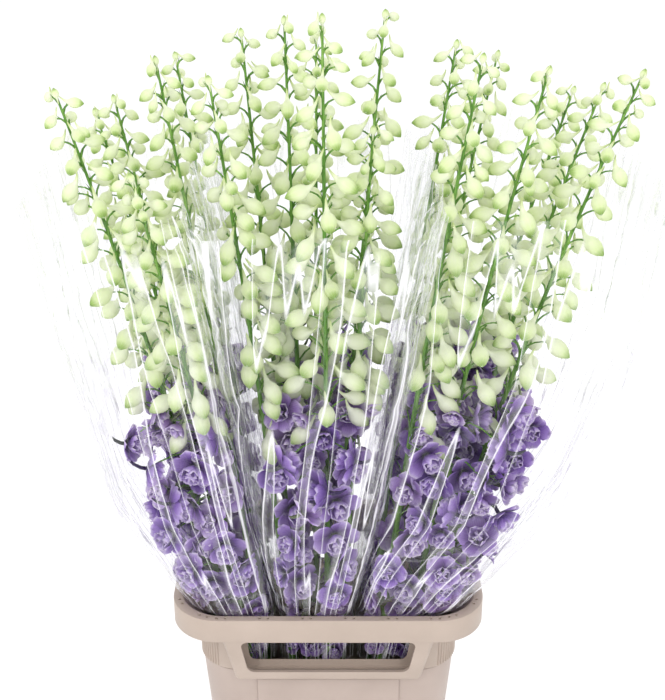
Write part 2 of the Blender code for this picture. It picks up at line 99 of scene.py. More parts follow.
def makeStemSkin():
    # living stem: smooth green skin with fine lengthwise ribs, about 4 mm apart, and paler bloom
    made, tree, shader = newMaterial("freshStem", Roughness=0.48, IOR=1.42)
    where = addNode(tree, "TexCoord").outputs["Object"]
    stretch = addNode(tree, "Mapping", {"Scale": (260.0, 260.0, 9.0)}, {"Vector": where})
    ribs = addNode(tree, "TexNoise", {"Scale": 1.0, "Detail": 3.0}, {"Vector": stretch})
    stops = [(0.3, "#416c1f"), (0.5, "#5c8c35"), (0.72, "#8bb358")]
    tint = addNode(tree, "ValToRGB", {"stops": stops}, {"Fac": ribs})
    bump = addNode(tree, "Bump", {"Strength": 0.25, "Distance": 0.0005}, {"Height": ribs})
    linkInputs(tree, shader, {"Base Color": tint, "Normal": bump})
    return made


def letLightThrough(tree, shader, colour, share):
    # mixes in light that comes through thin tissue from behind
    through = addNode(tree, "BsdfTranslucent", links={"Color": colour})
    mixed = addNode(tree, "MixShader", {0: share}, {1: shader, 2: through})
    linkInputs(tree, tree.nodes["Material Output"], {"Surface": mixed})


def flowerParts(tree):
    # along, around and tone, as each flower's points carry them
    mark = addNode(tree, "Attribute", {"attribute_name": "flower"})
    return addNode(tree, "SeparateXYZ", links={"Vector": mark.outputs["Vector"]}).outputs


def blendByTone(tree, part, first, second):
    # two ranges of colour along the flower, between which its tone chooses
    a = addNode(tree, "ValToRGB", {"stops": first}, {"Fac": part["X"]})
    b = addNode(tree, "ValToRGB", {"stops": second}, {"Fac": part["X"]})
    blend = addNode(tree, "Mix", {"data_type": "RGBA"}, {"Factor": part["Z"], "A": a, "B": b})
    return blend.outputs["Result"]


def darkenBy(tree, colour, amount):
    shade = addNode(tree, "Mix", {"data_type": "RGBA", "blend_type": "MULTIPLY", "Factor": 1.0},
                    {"A": colour, "B": amount})
    return shade.outputs["Result"]


def makeBudSkin():
    # closed sepals: waxy pale lime skin, darker green at the tip and along the seams, silky short down
    made, tree, shader = newMaterial("budSepal", Roughness=0.45, IOR=1.4)
    part = flowerParts(tree)
    green = [(0.0, "#d0de98"), (0.28, "#f5f9e0"), (0.55, "#eef5d0"), (0.82, "#dceab0"), (0.93, "#9fbd64"),
             (1.0, "#7fa546")]
    pale = [(0.0, "#dfebb8"), (0.3, "#fbfcf2"), (0.7, "#f6f9e4"), (0.92, "#d0dfa8"), (1.0, "#98b868")]
    body = blendByTone(tree, part, green, pale)
    seams = addNode(tree, "Math", {"operation": "PINGPONG", 1: 0.5}, {0: part["Y"]})
    rim = addNode(tree, "MapRange", {"From Min": 0.06, "From Max": 0.34, "To Min": 0.55, "To Max": 0.0},
                  {"Value": seams})
    edged = addNode(tree, "Mix", {"data_type": "RGBA", "B": (*linear("#f6f8ea"), 1.0)},
                    {"Factor": rim, "A": body})
    dark = addNode(tree, "MapRange", {"From Min": 0.0, "From Max": 0.07, "To Min": 0.72, "To Max": 1.0},
                   {"Value": seams})
    shade = darkenBy(tree, edged.outputs["Result"], dark)
    linkInputs(tree, shader, {"Base Color": shade})
    letLightThrough(tree, shader, shade, 0.30)
    return made


def makePetal():
    # double bloom petals: thin satin tissue, lavender with deep violet hearts, pale edges and fine veins; the
    # near-black violet at the petal roots is partly the hearts' own colour and partly painted shade deep in
    # the bloom
    made, tree, shader = newMaterial("lavenderPetal", Roughness=0.55, IOR=1.38, Sheen_Weight=0.15)
    part = flowerParts(tree)
    # painted shade, in part: the darkest stop, at the petal roots, stands for shade deep in the bloom as well
    # as for the hearts' violet
    violet = [(0.0, "#2c0f50"), (0.22, "#50287e"), (0.5, "#7a52b2"), (0.85, "#a886d6"), (1.0, "#decdf2")]
    lilac = [(0.0, "#75835a"), (0.22, "#8a68aa"), (0.6, "#b692d6"), (0.9, "#dcc9f0"), (1.0, "#f2eaf4")]
    body = blendByTone(tree, part, violet, lilac)
    # veins run lengthwise, nine to a petal: about 3 mm apart on the outer petals and 1.3 mm on the inner ones
    veins = addNode(tree, "Math", {"operation": "MULTIPLY", 1: 58.0}, {0: part["Y"]})
    wave = addNode(tree, "Math", {"operation": "SINE"}, {0: veins})
    tone = addNode(tree, "MapRange", {"From Min": -1.0, "From Max": 1.0, "To Min": 0.86, "To Max": 1.0},
                   {"Value": wave})
    shade = darkenBy(tree, body, tone)
    bump = addNode(tree, "Bump", {"Strength": 0.15, "Distance": 0.0003}, {"Height": wave})
    linkInputs(tree, shader, {"Base Color": shade, "Normal": bump})
    letLightThrough(tree, shader, shade, 0.25)
    return made


def makeLeafSkin():
    # cut leaf: matt green blade with a pale midrib in each lobe
    made, tree, shader = newMaterial("cutLeaf", Roughness=0.6, IOR=1.4)
    part = flowerParts(tree)
    stops = [(0.0, "#6f9a52"), (0.3, "#3d6d2f"), (0.8, "#4f8240"), (1.0, "#7ea45c")]
    tint = addNode(tree, "ValToRGB", {"stops": stops}, {"Fac": part["X"]})
    rib = addNode(tree, "MapRange", {"From Min": 0.0, "From Max": 0.14, "To Min": 1.0, "To Max": 0.0},
                  {"Value": part["Y"]})
    blend = addNode(tree, "Mix", {"data_type": "RGBA", "B": (*linear("#a9c583"), 1.0)},
                    {"Factor": rib, "A": tint})
    linkInputs(tree, shader, {"Base Color": blend.outputs["Result"]})
    return made


def makeFilm():
    # clear polypropylene film 40 microns thick: nearly invisible face on, white where turned away by its
    # glossy reflection, and white on creases and patches by painted reflection, a white diffuse veil mixed in
    made = bpy.data.materials.new("clearFilm")
    made.use_nodes = True
    tree = made.node_tree
    tree.nodes.clear()
    where = addNode(tree, "TexCoord").outputs
    height = addNode(tree, "SeparateXYZ", links={"Vector": where["Object"]}).outputs["Z"]
    # crinkles about 33 mm across and twice as tall, with sharp ridges, bent by a noise
    stretch = addNode(tree, "Mapping", {"Scale": (1.0, 1.0, 0.45)}, {"Vector": where["Object"]})
    bend = addNode(tree, "TexNoise", {"Scale": 9.0, "Detail": 2.0}, {"Vector": stretch})
    shift = addNode(tree, "Mix", {"data_type": "VECTOR", "Factor": 0.10},
                    {"A": stretch, "B": bend.outputs["Color"]}).outputs["Result"]
    ridges = addNode(tree, "TexVoronoi", {"feature": "DISTANCE_TO_EDGE", "Scale": 30.0},
                     {"Vector": shift}).outputs["Distance"]
    ripple = addNode(tree, "TexNoise", {"Scale": 22.0, "Detail": 3.0, "Distortion": 1.5}, {"Vector": shift})
    relief = addNode(tree, "Math", {"operation": "ADD"}, {0: ridges, 1: ripple})
    bump = addNode(tree, "Bump", {"Strength": 0.7, "Distance": 0.006}, {"Height": relief})
    facing = addNode(tree, "LayerWeight", {"Blend": 0.30}, {"Normal": bump}).outputs["Facing"]
    shine = addNode(tree, "MapRange", {"From Min": 0.0, "From Max": 1.0, "To Min": 0.03, "To Max": 0.88},
                    {"Value": facing})
    share = addNode(tree, "Math", {"operation": "POWER", 1: 2.2}, {0: shine})
    gloss = addNode(tree, "BsdfGlossy", {"Roughness": 0.045, "Color": (1, 1, 1, 1)}, {"Normal": bump})
    clear = addNode(tree, "BsdfTransparent", {"Color": (0.99, 0.99, 1.0, 1)})
    faced = addNode(tree, "MixShader", links={0: share, 1: clear, 2: gloss})
    # painted reflection: creases and patches get a white diffuse veil, more of it low down, where the film is
    # gathered
    creaseSheen = addNode(tree, "MapRange", {"From Min": 0.0, "From Max": 0.02, "To Min": 0.16, "To Max": 0.0},
                      {"Value": ridges})
    patchSheen = addNode(tree, "MapRange", {"From Min": 0.58, "From Max": 0.72, "To Min": 0.0, "To Max": 0.16},
                      {"Value": ripple})
    haze = addNode(tree, "Math", {"operation": "ADD"}, {0: creaseSheen, 1: patchSheen})
    sheenByHeight = addNode(tree, "MapRange", {"From Min": 0.40, "From Max": 0.62, "To Min": 1.0, "To Max": 0.35},
                   {"Value": height})
    amount = addNode(tree, "Math", {"operation": "MULTIPLY"}, {0: haze, 1: sheenByHeight})
    # painted highlight streaks: straight fold lines from the rim to the top, about 27 mm apart and 1 to 2 mm
    # wide, each beside a broader band of painted sheen; the folds are only painted, not in the relief
    lean = addNode(tree, "Mapping", {"Scale": (44.0, 1.1, 1.0)}, {"Vector": where["UV"]})
    folds = addNode(tree, "TexNoise", {"Scale": 1.0, "Detail": 1.0}, {"Vector": lean})
    apart = addNode(tree, "Math", {"operation": "SUBTRACT", 1: 0.5}, {0: folds})
    nearFold = addNode(tree, "Math", {"operation": "ABSOLUTE"}, {0: apart})
    line = addNode(tree, "MapRange", {"From Min": 0.002, "From Max": 0.014, "To Min": 0.55, "To Max": 0.0},
                   {"Value": nearFold})
    band = addNode(tree, "MapRange", {"From Min": 0.0, "From Max": 0.08, "To Min": 0.20, "To Max": 0.0},
                   {"Value": apart})
    oneSide = addNode(tree, "Math", {"operation": "GREATER_THAN", 1: 0.0}, {0: apart})
    sheenBesideFold = addNode(tree, "Math", {"operation": "MULTIPLY"}, {0: band, 1: oneSide})
    fold = addNode(tree, "Math", {"operation": "ADD"}, {0: line, 1: sheenBesideFold})
    # painted reflection and highlight: the crease, patch and fold sheen mixes a white diffuse shader over the
    # clear, glossy film
    sheenAmount = addNode(tree, "Math", {"operation": "ADD", "use_clamp": True}, {0: amount, 1: fold})
    white = addNode(tree, "BsdfDiffuse", {"Color": (0.97, 0.96, 1.0, 1)})
    filmWithSheen = addNode(tree, "MixShader", links={0: sheenAmount, 1: faced, 2: white})
    addNode(tree, "OutputMaterial", links={"Surface": filmWithSheen})
    return made


def makeWater():
    # still water: clear with a slight cool tint
    made, tree, shader = newMaterial("stillWater", Roughness=0.04, IOR=1.333, Transmission_Weight=0.9)
    where = addNode(tree, "TexCoord").outputs["Object"]
    haze = addNode(tree, "TexNoise", {"Scale": 20.0}, {"Vector": where})
    tint = addNode(tree, "ValToRGB", {"stops": [(0.3, "#dfeceb"), (0.7, "#eef6f4")]}, {"Fac": haze})
    linkInputs(tree, shader, {"Base Color": tint})
    return made


bucketPlastic = makePlastic("creamPolypropyleneBucket", "#b3a39a", "#a99990")
collarPlastic = makePlastic("creamPolypropyleneCollar", "#b6a69a", "#ac9c90")
stemSkin = makeStemSkin()
budSkin = makeBudSkin()
petalSkin = makePetal()
leafSkin = makeLeafSkin()
filmSkin = makeFilm()
waterSkin = makeWater()
print("materials ready")


def deselectAll():
    if bpy.context.object and bpy.context.object.mode != "OBJECT":
        bpy.ops.object.mode_set(mode="OBJECT")
    bpy.ops.object.select_all(action="DESELECT")


def only(thing):
    deselectAll()
    thing.select_set(True)
    bpy.context.view_layer.objects.active = thing


def applyAll(thing):
    only(thing)
    for modifier in list(thing.modifiers):
        bpy.ops.object.modifier_apply(modifier=modifier.name)


def turnFacesOut(thing):
    only(thing)
    bpy.ops.object.mode_set(mode="EDIT")
    bpy.ops.mesh.select_all(action="SELECT")
    bpy.ops.mesh.normals_make_consistent(inside=False)
    bpy.ops.object.mode_set(mode="OBJECT")


def bevelled(block, width, segments):
    turnFacesOut(block)
    bevel = block.modifiers.new("round", "BEVEL")
    bevel.width = width
    bevel.segments = segments
    applyAll(block)
    return block


def smoothByAngle(thing):
    only(thing)
    bpy.ops.object.shade_smooth_by_angle(angle=math.radians(36))


def finishPiece(thing, name, skins, replaced=(), numbers=None):
    only(thing)
    thing.name = name
    bpy.ops.object.transform_apply(location=True, rotation=True, scale=True)
    thing.data.materials.clear()
    for skin in skins:
        thing.data.materials.append(skin)
    if numbers:
        thing.data.polygons.foreach_set("material_index", numbers)
    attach(thing, "root")
    if replaced:
        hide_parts(*replaced)
    thing.select_set(False)


def roundedLoop(halfX, halfY, corner, height, steps):
    # an edge loop: a plane whose corners are bevelled round and whose face is removed
    deselectAll()
    bpy.ops.mesh.primitive_plane_add(size=1, location=(0, 0, 0))
    loop = bpy.context.object
    loop.scale = (2 * halfX, 2 * halfY, 1)
    bpy.ops.object.transform_apply(scale=True)
    bpy.ops.object.mode_set(mode="EDIT")
    bpy.ops.mesh.select_all(action="SELECT")
    bpy.ops.mesh.bevel(offset=corner, segments=steps, affect="VERTICES")
    bpy.ops.mesh.select_all(action="SELECT")
    bpy.ops.mesh.delete(type="ONLY_FACE")
    bpy.ops.mesh.select_all(action="SELECT")
    bpy.ops.transform.translate(value=(0, 0, height))
    return loop


def pullRing(state, halfX, halfY, height):
    # extrudes the selected loop to a new size and height; state holds its half sizes and height
    bpy.ops.mesh.extrude_region_move(TRANSFORM_OT_translate={"value": (0, 0, height - state[2])})
    bpy.ops.transform.resize(value=(halfX / state[0], halfY / state[1], 1), center_override=(0, 0, height))
    return halfX, halfY, height


def cutWith(thing, cutters, operation="DIFFERENCE"):
    group = bpy.data.collections.new("cut")
    bpy.context.scene.collection.children.link(group)
    for cutter in cutters:
        for home in list(cutter.users_collection):
            home.objects.unlink(cutter)
        group.objects.link(cutter)
    modifier = thing.modifiers.new("cut", "BOOLEAN")
    modifier.operation = operation
    modifier.operand_type = "COLLECTION"
    modifier.collection = group
    modifier.solver = "EXACT"
    only(thing)
    bpy.ops.object.modifier_apply(modifier="cut")
    for cutter in cutters:
        bpy.data.objects.remove(cutter, do_unlink=True)
    bpy.data.collections.remove(group)


def boxAt(low, high):
    deselectAll()
    bpy.ops.mesh.primitive_cube_add(size=1, location=[(a + b) / 2 for a, b in zip(low, high)])
    box = bpy.context.object
    box.scale = [b - a for a, b in zip(low, high)]
    bpy.ops.object.transform_apply(location=True, rotation=True, scale=True)
    return box


def softenEdges(thing, width):
    # rounds the edges sharper than 28 degrees
    modifier = thing.modifiers.new("soften", "BEVEL")
    modifier.width = width
    modifier.segments = 2
    modifier.limit_method = "ANGLE"
    modifier.angle_limit = math.radians(28)
    modifier.harden_normals = False
    applyAll(thing)
    smoothByAngle(thing)


bucket = {
    "height": 0.270,
    "top": (0.167, 0.117),  # half length and half width
    "foot": (0.146, 0.096),
    "corner": 0.052,
    "wall": 0.0025,
    "floor": 0.003,  # thickness
    "panel": (0.186, 0.150, 0.256),  # width, height and the height of its top edge
    "panelEdge": 0.0014,
    "panelProud": 0.003,
}


def makeBucket():
    top, foot, height, wall = bucket["top"], bucket["foot"], bucket["height"], bucket["wall"]
    shell = roundedLoop(foot[0] - 0.006, foot[1] - 0.006, bucket["corner"] - 0.010, 0.0, 14)
    bpy.ops.mesh.edge_face_add()
    bpy.ops.mesh.select_all(action="SELECT")
    state = (foot[0] - 0.006, foot[1] - 0.006, 0.0)
    for inset, rise in ((0.0018, 0.0018), (0.0, 0.006)):
        state = pullRing(state, foot[0] - inset, foot[1] - inset, rise)
    state = pullRing(state, top[0], top[1], height)
    state = pullRing(state, top[0] - wall, top[1] - wall, height)
    state = pullRing(state, foot[0] - wall, foot[1] - wall, bucket["floor"] + 0.004)
    pullRing(state, foot[0] - 0.008, foot[1] - 0.008, bucket["floor"])
    bpy.ops.object.mode_set(mode="OBJECT")
    panels = []
    width, tall, panelTop = bucket["panel"]
    for side in (-1, 1):
        panel = boxAt((-width / 2, -0.5, panelTop - tall), (width / 2, 0.5, panelTop))
        for point in panel.data.vertices:
            share = point.co.z / height
            wallAt = foot[1] + (top[1] - foot[1]) * share
            point.co.y = side * (wallAt + (bucket["panelProud"] if point.co.y * side > 0 else -0.0015))
        panels.append(bevelled(panel, bucket["panelEdge"], 3))
    cutWith(shell, panels, "UNION")
    smoothByAngle(shell)
    finishPiece(shell, "bucketShell", [bucketPlastic], ["bucket"])


collar = {
    "rim": 0.370,  # height of its top face
    "half": (0.200, 0.150),
    "corner": 0.068,
    "face": 0.011,  # width of the rim's top face
    "band": 0.033,  # height of the outer band
    "wall": 0.0025,
    "throat": (0.168, 0.118),  # half sizes of the wall below the band
    "seat": 0.2703,  # height of the ledge that rests on the bucket's edge
    "frameHalf": (0.1195, 0.137),  # half width of the window frame at its foot and at the band
    "frameFace": (0.1305, 0.1508),
    "frameEdge": 0.0065,
    "frameFoot": 0.2625,
    "frameTop": 0.347,
    "frameWall": 0.0036,
    "windowHalf": (0.1035, 0.112),
    "window": (0.2795, 0.3355),  # heights of its sill and its top
    "windowCorner": 0.010,
    "holePitch": 0.054,
    "holePair": 0.0106,
    "hole": 0.0019,
    "ribs": 11,
    "ribPitch": 0.0046,
    "rib": (0.0012, 0.062),  # radius and length
    "softEdge": 0.0011,
}


def makeFrameBlock(side):
    # the trapezoid frame round a window: it hangs from the band, in front of the bucket's edge
    foot, top = collar["frameFoot"], collar["frameTop"]
    block = boxAt((-1, 0, foot), (1, 1, top))
    for point in block.data.vertices:
        high = point.co.z > (foot + top) / 2
        half = collar["frameHalf"][1 if high else 0]
        face = collar["frameFace"][1 if high else 0]
        out = point.co.y > 0.5
        point.co.x = math.copysign(half, point.co.x)
        point.co.y = side * (face if out else collar["throat"][1] + (-0.001 if high else 0.0008))
    return bevelled(block, collar["frameEdge"], 4)


def makeFramePocket(side):
    # the hollow behind the frame's wall, open towards the bunches
    low, high = collar["frameFoot"] + 0.009, collar["window"][1] + 0.001
    wall = collar["frameWall"]
    block = boxAt((-1, 0, low), (1, 1, high))
    for point in block.data.vertices:
        up = point.co.z > (low + high) / 2
        half = collar["frameHalf"][1 if up else 0] - 0.006
        face = collar["frameFace"][1 if up else 0] - wall + (-0.001 if up else 0.001)
        out = point.co.y > 0.5
        point.co.x = math.copysign(half, point.co.x)
        point.co.y = side * (face if out else collar["throat"][1] - 0.008)
    return bevelled(block, 0.003, 2)


def makeWindowCutter(side):
    low, high = collar["window"]
    near, far = collar["throat"][1] - 0.012, collar["half"][1] + 0.01
    cutter = boxAt((-1, near, low), (1, far, high))
    for point in cutter.data.vertices:
        half = collar["windowHalf"][1 if point.co.z > (low + high) / 2 else 0]
        point.co.x = math.copysign(half, point.co.x)
        point.co.y *= side
    turnFacesOut(cutter)
    bpy.ops.object.mode_set(mode="EDIT")
    bpy.ops.mesh.select_all(action="DESELECT")
    bpy.ops.object.mode_set(mode="OBJECT")
    for edge in cutter.data.edges:
        a, b = (cutter.data.vertices[k].co for k in edge.vertices)
        edge.select = abs(a.y - b.y) > 0.01
    bpy.ops.object.mode_set(mode="EDIT")
    bpy.ops.mesh.bevel(offset=collar["windowCorner"], segments=6, affect="EDGES")
    bpy.ops.object.mode_set(mode="OBJECT")
    return cutter


def rimHolePlaces():
    # middle of every hole in the rim's top face: pairs along the front and back, and round the corners
    inset = collar["face"] * 0.52
    halfX, halfY = collar["half"][0] - inset, collar["half"][1] - inset
    corner = collar["corner"] - inset
    places = []
    for side in (-1, 1):
        for k in range(-3, 3):
            for shift in (-0.5, 0.5):
                x = (k + 0.5) * collar["holePitch"] + shift * collar["holePair"]
                places.append((x, side * halfY))
    step = collar["holePair"] / corner / 2
    for sx in (-1, 1):
        for sy in (-1, 1):
            for angle in (24, 66):
                for shift in (-step, step):
                    turn = math.radians(angle) + shift
                    places.append((sx * (halfX - corner + corner * math.cos(turn)),
                                   sy * (halfY - corner + corner * math.sin(turn))))
        for k in (-0.5, 0.5):
            places.append((sx * halfX, k * collar["holePair"]))
    return places


def makeCollar():
    half, throat, wall = collar["half"], collar["throat"], collar["wall"]
    rim, face = collar["rim"], collar["face"]
    bandFoot, seat = rim - collar["band"], collar["seat"]
    ring = roundedLoop(half[0] - face, half[1] - face, collar["corner"] - face, rim, 18)
    state = (half[0] - face, half[1] - face, rim)
    steps = [
        (half[0], half[1], rim),
        (half[0], half[1], bandFoot),
        (half[0] - wall, half[1] - wall, bandFoot),
        (half[0] - wall, half[1] - wall, rim - wall),
        (half[0] - face + wall, half[1] - face + wall, rim - wall),
        (throat[0], throat[1], bandFoot),
        (throat[0] - 0.001, throat[1] - 0.001, seat),
        (throat[0] - 0.006, throat[1] - 0.006, seat),
        (throat[0] - 0.0075, throat[1] - 0.0075, seat - 0.018),
        (throat[0] - 0.0095, throat[1] - 0.0095, seat - 0.018),
        (throat[0] - 0.005, throat[1] - 0.005, seat + 0.002),
        (throat[0] - wall, throat[1] - wall, bandFoot),
        (half[0] - face, half[1] - face, rim),
    ]
    for step in steps:
        state = pullRing(state, *step)
    bpy.ops.mesh.select_all(action="SELECT")
    bpy.ops.mesh.remove_doubles(threshold=0.00002)
    bpy.ops.mesh.normals_make_consistent(inside=False)
    bpy.ops.object.mode_set(mode="OBJECT")
    softenEdges(ring, collar["softEdge"])
    cutWith(ring, [makeFrameBlock(-1), makeFrameBlock(1)] + makeCornerRibs(), "UNION")
    cutWith(ring, [makeFramePocket(-1), makeFramePocket(1)])
    cutWith(ring, [makeWindowCutter(-1), makeWindowCutter(1)] + makeRimCutters())
    smoothByAngle(ring)
    finishPiece(ring, "collarRing", [collarPlastic], ["collar"])


def makeRimCutters():
    cutters = []
    for x, y in rimHolePlaces():
        deselectAll()
        bpy.ops.mesh.primitive_cylinder_add(vertices=14, radius=collar["hole"], depth=0.014,
                                            location=(x, y, collar["rim"]))
        bpy.ops.object.transform_apply(location=True, rotation=True, scale=True)
        cutters.append(bpy.context.object)
    return cutters


def makeCornerRibs():
    # fine upright ribs on the collar's wall at its four corners, below the band
    ribs = []
    halfX, halfY = collar["throat"]
    corner = bucket["corner"]
    for sx in (-1, 1):
        for sy in (-1, 1):
            for k in range(collar["ribs"]):
                turn = math.radians(6) + k * collar["ribPitch"] / corner
                if turn > math.radians(58):
                    break
                spot = (sx * (halfX - corner + corner * math.cos(turn)),
                        sy * (halfY - corner + corner * math.sin(turn)), collar["seat"] + 0.0325)
                deselectAll()
                radius, length = collar["rib"]
                bpy.ops.mesh.primitive_cylinder_add(vertices=8, radius=radius, depth=length, location=spot)
                bpy.ops.object.transform_apply(location=True, rotation=True, scale=True)
                ribs.append(bpy.context.object)
    return ribs


# where the flowers sit follows the same rule as in the solids
flowers = {
    "waterLevel": 0.072,
    "bend": 1.45,  # how late a stem leans out
    "stem": (0.0042, 0.0013),  # radius below the flowers and at the tip
    "stemFoot": 0.0036,
    "flowerStart": 0.372,
    "bloomTop": 0.600,
    "bloom": 0.028,  # radius
    "bud": 0.0088,
    "budLength": 0.024,
    "spur": 0.017,
    "golden": 137.5,  # degrees from one flower to the next
    "lift": 0.011,  # up to the next try when no place round the stem is free
    "blooms": 4,
    "buds": 6,
    "rows": 12,  # of blooms packed against the film
    "rowFoot": 0.280,
    "rowStep": 0.033,
    "rowPitch": 0.041,
    "halfOpen": 0.655,  # below this height some buds are half open
    "pressed": 0.0040,  # how far inside the sleeve's line the film holds the petals
    "moreBuds": 46,  # to a stem, from the next height up
    "moreBudsFrom": 0.575,
    "leafHeight": 0.276,
    "leafSizes": (0.055, 0.045, 0.036),
}

# sleeve, place of the foot, place of the tip
stems = [
    ("left", (-0.112, -0.044), (-0.285, -0.150, 1.035)),
    ("left", (-0.092, -0.062), (-0.205, -0.190, 0.955)),
    ("left", (-0.086, -0.020), (-0.190, -0.060, 1.050)),
    ("left", (-0.116, -0.004), (-0.250, 0.010, 0.990)),
    ("left", (-0.084, 0.052), (-0.190, 0.130, 1.015)),
    ("left", (-0.108, 0.034), (-0.290, 0.105, 0.950)),
    ("centre", (-0.042, -0.060), (-0.125, -0.135, 1.045)),
    ("centre", (-0.044, 0.008), (-0.100, 0.020, 1.065)),
    ("centre", (0.000, -0.066), (-0.005, -0.165, 1.115)),
    ("centre", (-0.030, -0.026), (-0.048, -0.040, 1.090)),
    ("centre", (0.018, -0.030), (0.050, -0.110, 0.985)),
    ("centre", (0.006, 0.018), (0.065, 0.000, 1.090)),
    ("centre", (-0.018, 0.058), (-0.015, 0.160, 1.035)),
    ("right", (0.060, -0.062), (0.160, -0.165, 1.075)),
    ("right", (0.096, -0.050), (0.230, -0.155, 1.060)),
    ("right", (0.112, -0.036), (0.335, -0.125, 1.050)),
    ("right", (0.052, -0.004), (0.150, 0.030, 1.050)),
    ("right", (0.110, 0.008), (0.325, 0.030, 1.000)),
    ("right", (0.070, 0.056), (0.215, 0.165, 1.010)),
    ("right", (0.104, 0.048), (0.310, 0.140, 0.970)),
]


def readTemplate(thing, marks):
    # what flowers are copied from: points, faces and, at each point, along, around and tone
    mesh = thing.data
    points = np.array([v.co[:] for v in mesh.vertices])
    faces = [tuple(p.vertices) for p in mesh.polygons]
    table = np.zeros((len(points), 3))
    table[:, :2] = marks
    bpy.data.objects.remove(thing, do_unlink=True)
    return points, faces, table


def makeBudTemplate():
    # a closed bud: five sepals folded over an egg, with a bent tapering spur behind
    deselectAll()
    bpy.ops.mesh.primitive_uv_sphere_add(segments=10, ring_count=11, radius=1)
    bud = bpy.context.object
    reach, length, spur = flowers["bud"] * 1.16, flowers["budLength"] * 0.92, flowers["spur"]
    # height and width from the tip to the spur's end
    profile = [
        (1.06, 0.0), (0.98, 0.20), (0.84, 0.50), (0.64, 0.78), (0.42, 0.92), (0.20, 0.90),
        (0.02, 0.74), (-0.14, 0.50), (-0.30, 0.34), (-0.48, 0.25), (-0.68, 0.19), (-0.90, 0.14),
        (-1.05, 0.10), (-1.15, 0.0),
    ]
    heights = sorted({round(v.co.z, 5) for v in bud.data.vertices}, reverse=True)
    marks = []
    for point in bud.data.vertices:
        step = heights.index(round(point.co.z, 5))
        place = step * (len(profile) - 1) / (len(heights) - 1)
        low = min(int(place), len(profile) - 2)
        share = place - low
        z = profile[low][0] + (profile[low + 1][0] - profile[low][0]) * share
        wide = profile[low][1] + (profile[low + 1][1] - profile[low][1]) * share
        turn = math.atan2(point.co.y, point.co.x)
        groove = 1.0 - 0.14 * max(0.0, math.cos(5 * turn)) * (1 if z > -0.05 else 0.3)
        rise = z * length if z > 0 else z * spur
        bent = 0.0 if z > 0 else 0.0075 * z * z
        across, deep = wide * reach * groove * math.cos(turn), wide * reach * groove * math.sin(turn)
        point.co = Vector((across, deep + bent, rise))
        marks.append(((rise + spur) / (length + spur), (turn / (2 * math.pi) * 5) % 1.0))
    return readTemplate(bud, marks)


def makePetalTemplate(width, length, cup, ruffle, tipCurl, cells):
    # one petal with its root at the origin, reaching out along x, cupped toward +z and solid
    deselectAll()
    bpy.ops.mesh.primitive_grid_add(x_subdivisions=cells[0], y_subdivisions=cells[1], size=1)
    petal = bpy.context.object
    marks = []
    for point in petal.data.vertices:
        along, across = point.co.x + 0.5, point.co.y * 2
        wide = width * (0.20 + 0.80 * math.sin(min(1.0, along * 1.12) * math.pi * 0.62) ** 1.1)
        if along > 0.72:
            wide *= math.sqrt(max(0.05, 1 - ((along - 0.72) / 0.34) ** 2))
        notch = 0.04 * length * (1 - across * across) * along
        z = cup * (across * across * 0.6 + along ** 2) + tipCurl * max(0.0, along - 0.6) ** 2
        z += ruffle * math.sin(across * 5.0 + along * 3.0) * along
        point.co = Vector((length * along + notch, wide * across * 0.5, z))
        marks.append((along, across * 0.5 + 0.5))
    return thicken(readTemplate(petal, marks), 0.0005)


def thicken(template, depth):
    # gives a sheet template a back face and edges, so that it is a closed solid
    points, faces, marks = template
    count = len(points)
    normal = np.zeros_like(points)
    for face in faces:
        a, b, c = points[face[0]], points[face[1]], points[face[2]]
        direction = np.cross(b - a, c - a)
        for k in face:
            normal[k] += direction
    normal /= np.maximum(np.linalg.norm(normal, axis=1), 1e-12)[:, None]
    both = np.vstack([points + normal * depth / 2, points - normal * depth / 2])
    edges = {}
    for face in faces:
        for a, b in zip(face, face[1:] + face[:1]):
            edges[(a, b)] = edges.get((a, b), 0) + 1
    rim = [(a, b) for (a, b) in edges if (b, a) not in edges]
    back = [tuple(k + count for k in reversed(face)) for face in faces]
    sides = [(b, a, a + count, b + count) for a, b in rim]
    return both, faces + back + sides, np.vstack([marks, marks])


def makeBractTemplate():
    # a narrow pointed bract, root at the origin, along z
    deselectAll()
    length = 0.013
    bpy.ops.mesh.primitive_cone_add(vertices=4, radius1=0.0011, radius2=0.0, depth=length,
                                    location=(0, 0, length / 2))
    bpy.ops.object.transform_apply(location=True)
    bract = bpy.context.object
    return readTemplate(bract, [(v.co.z / length, 0.5) for v in bract.data.vertices])


def makeLeafTemplate():
    # a palm-shaped leaf in five cut lobes, one unit long, in the xy plane with its stalk along y
    deselectAll()
    bpy.ops.mesh.primitive_circle_add(vertices=60, radius=1, fill_type="TRIFAN")
    leaf = bpy.context.object
    rim = [v for v in leaf.data.vertices if v.co.length > 0.5]
    centre = [v for v in leaf.data.vertices if v.co.length <= 0.5][0]
    marks = {centre.index: (0.0, 0.0)}
    for point in rim:
        turn = math.atan2(point.co.x, point.co.y)  # 0 along the midrib
        lobe = turn / math.radians(32)
        near = min(max(round(lobe), -2), 2)
        off = abs(lobe - near)
        reach = (1.0 - 0.17 * abs(near)) * max(0.34, 1.0 - 1.35 * off)
        tooth = 1.0 + 0.06 * math.cos(turn * 45)
        if abs(turn) > math.radians(84):
            reach, tooth = 0.12, 1.0
        aside, ahead = reach * tooth * math.sin(turn) * 0.62, reach * tooth * math.cos(turn) * 0.86
        point.co = Vector((aside, 0.2 + ahead, 0.0))
        marks[point.index] = (reach, min(1.0, off * 2))
    centre.co = Vector((0, 0.2, 0))
    return thicken(readTemplate(leaf, [marks[k] for k in range(len(marks))]), 0.012)


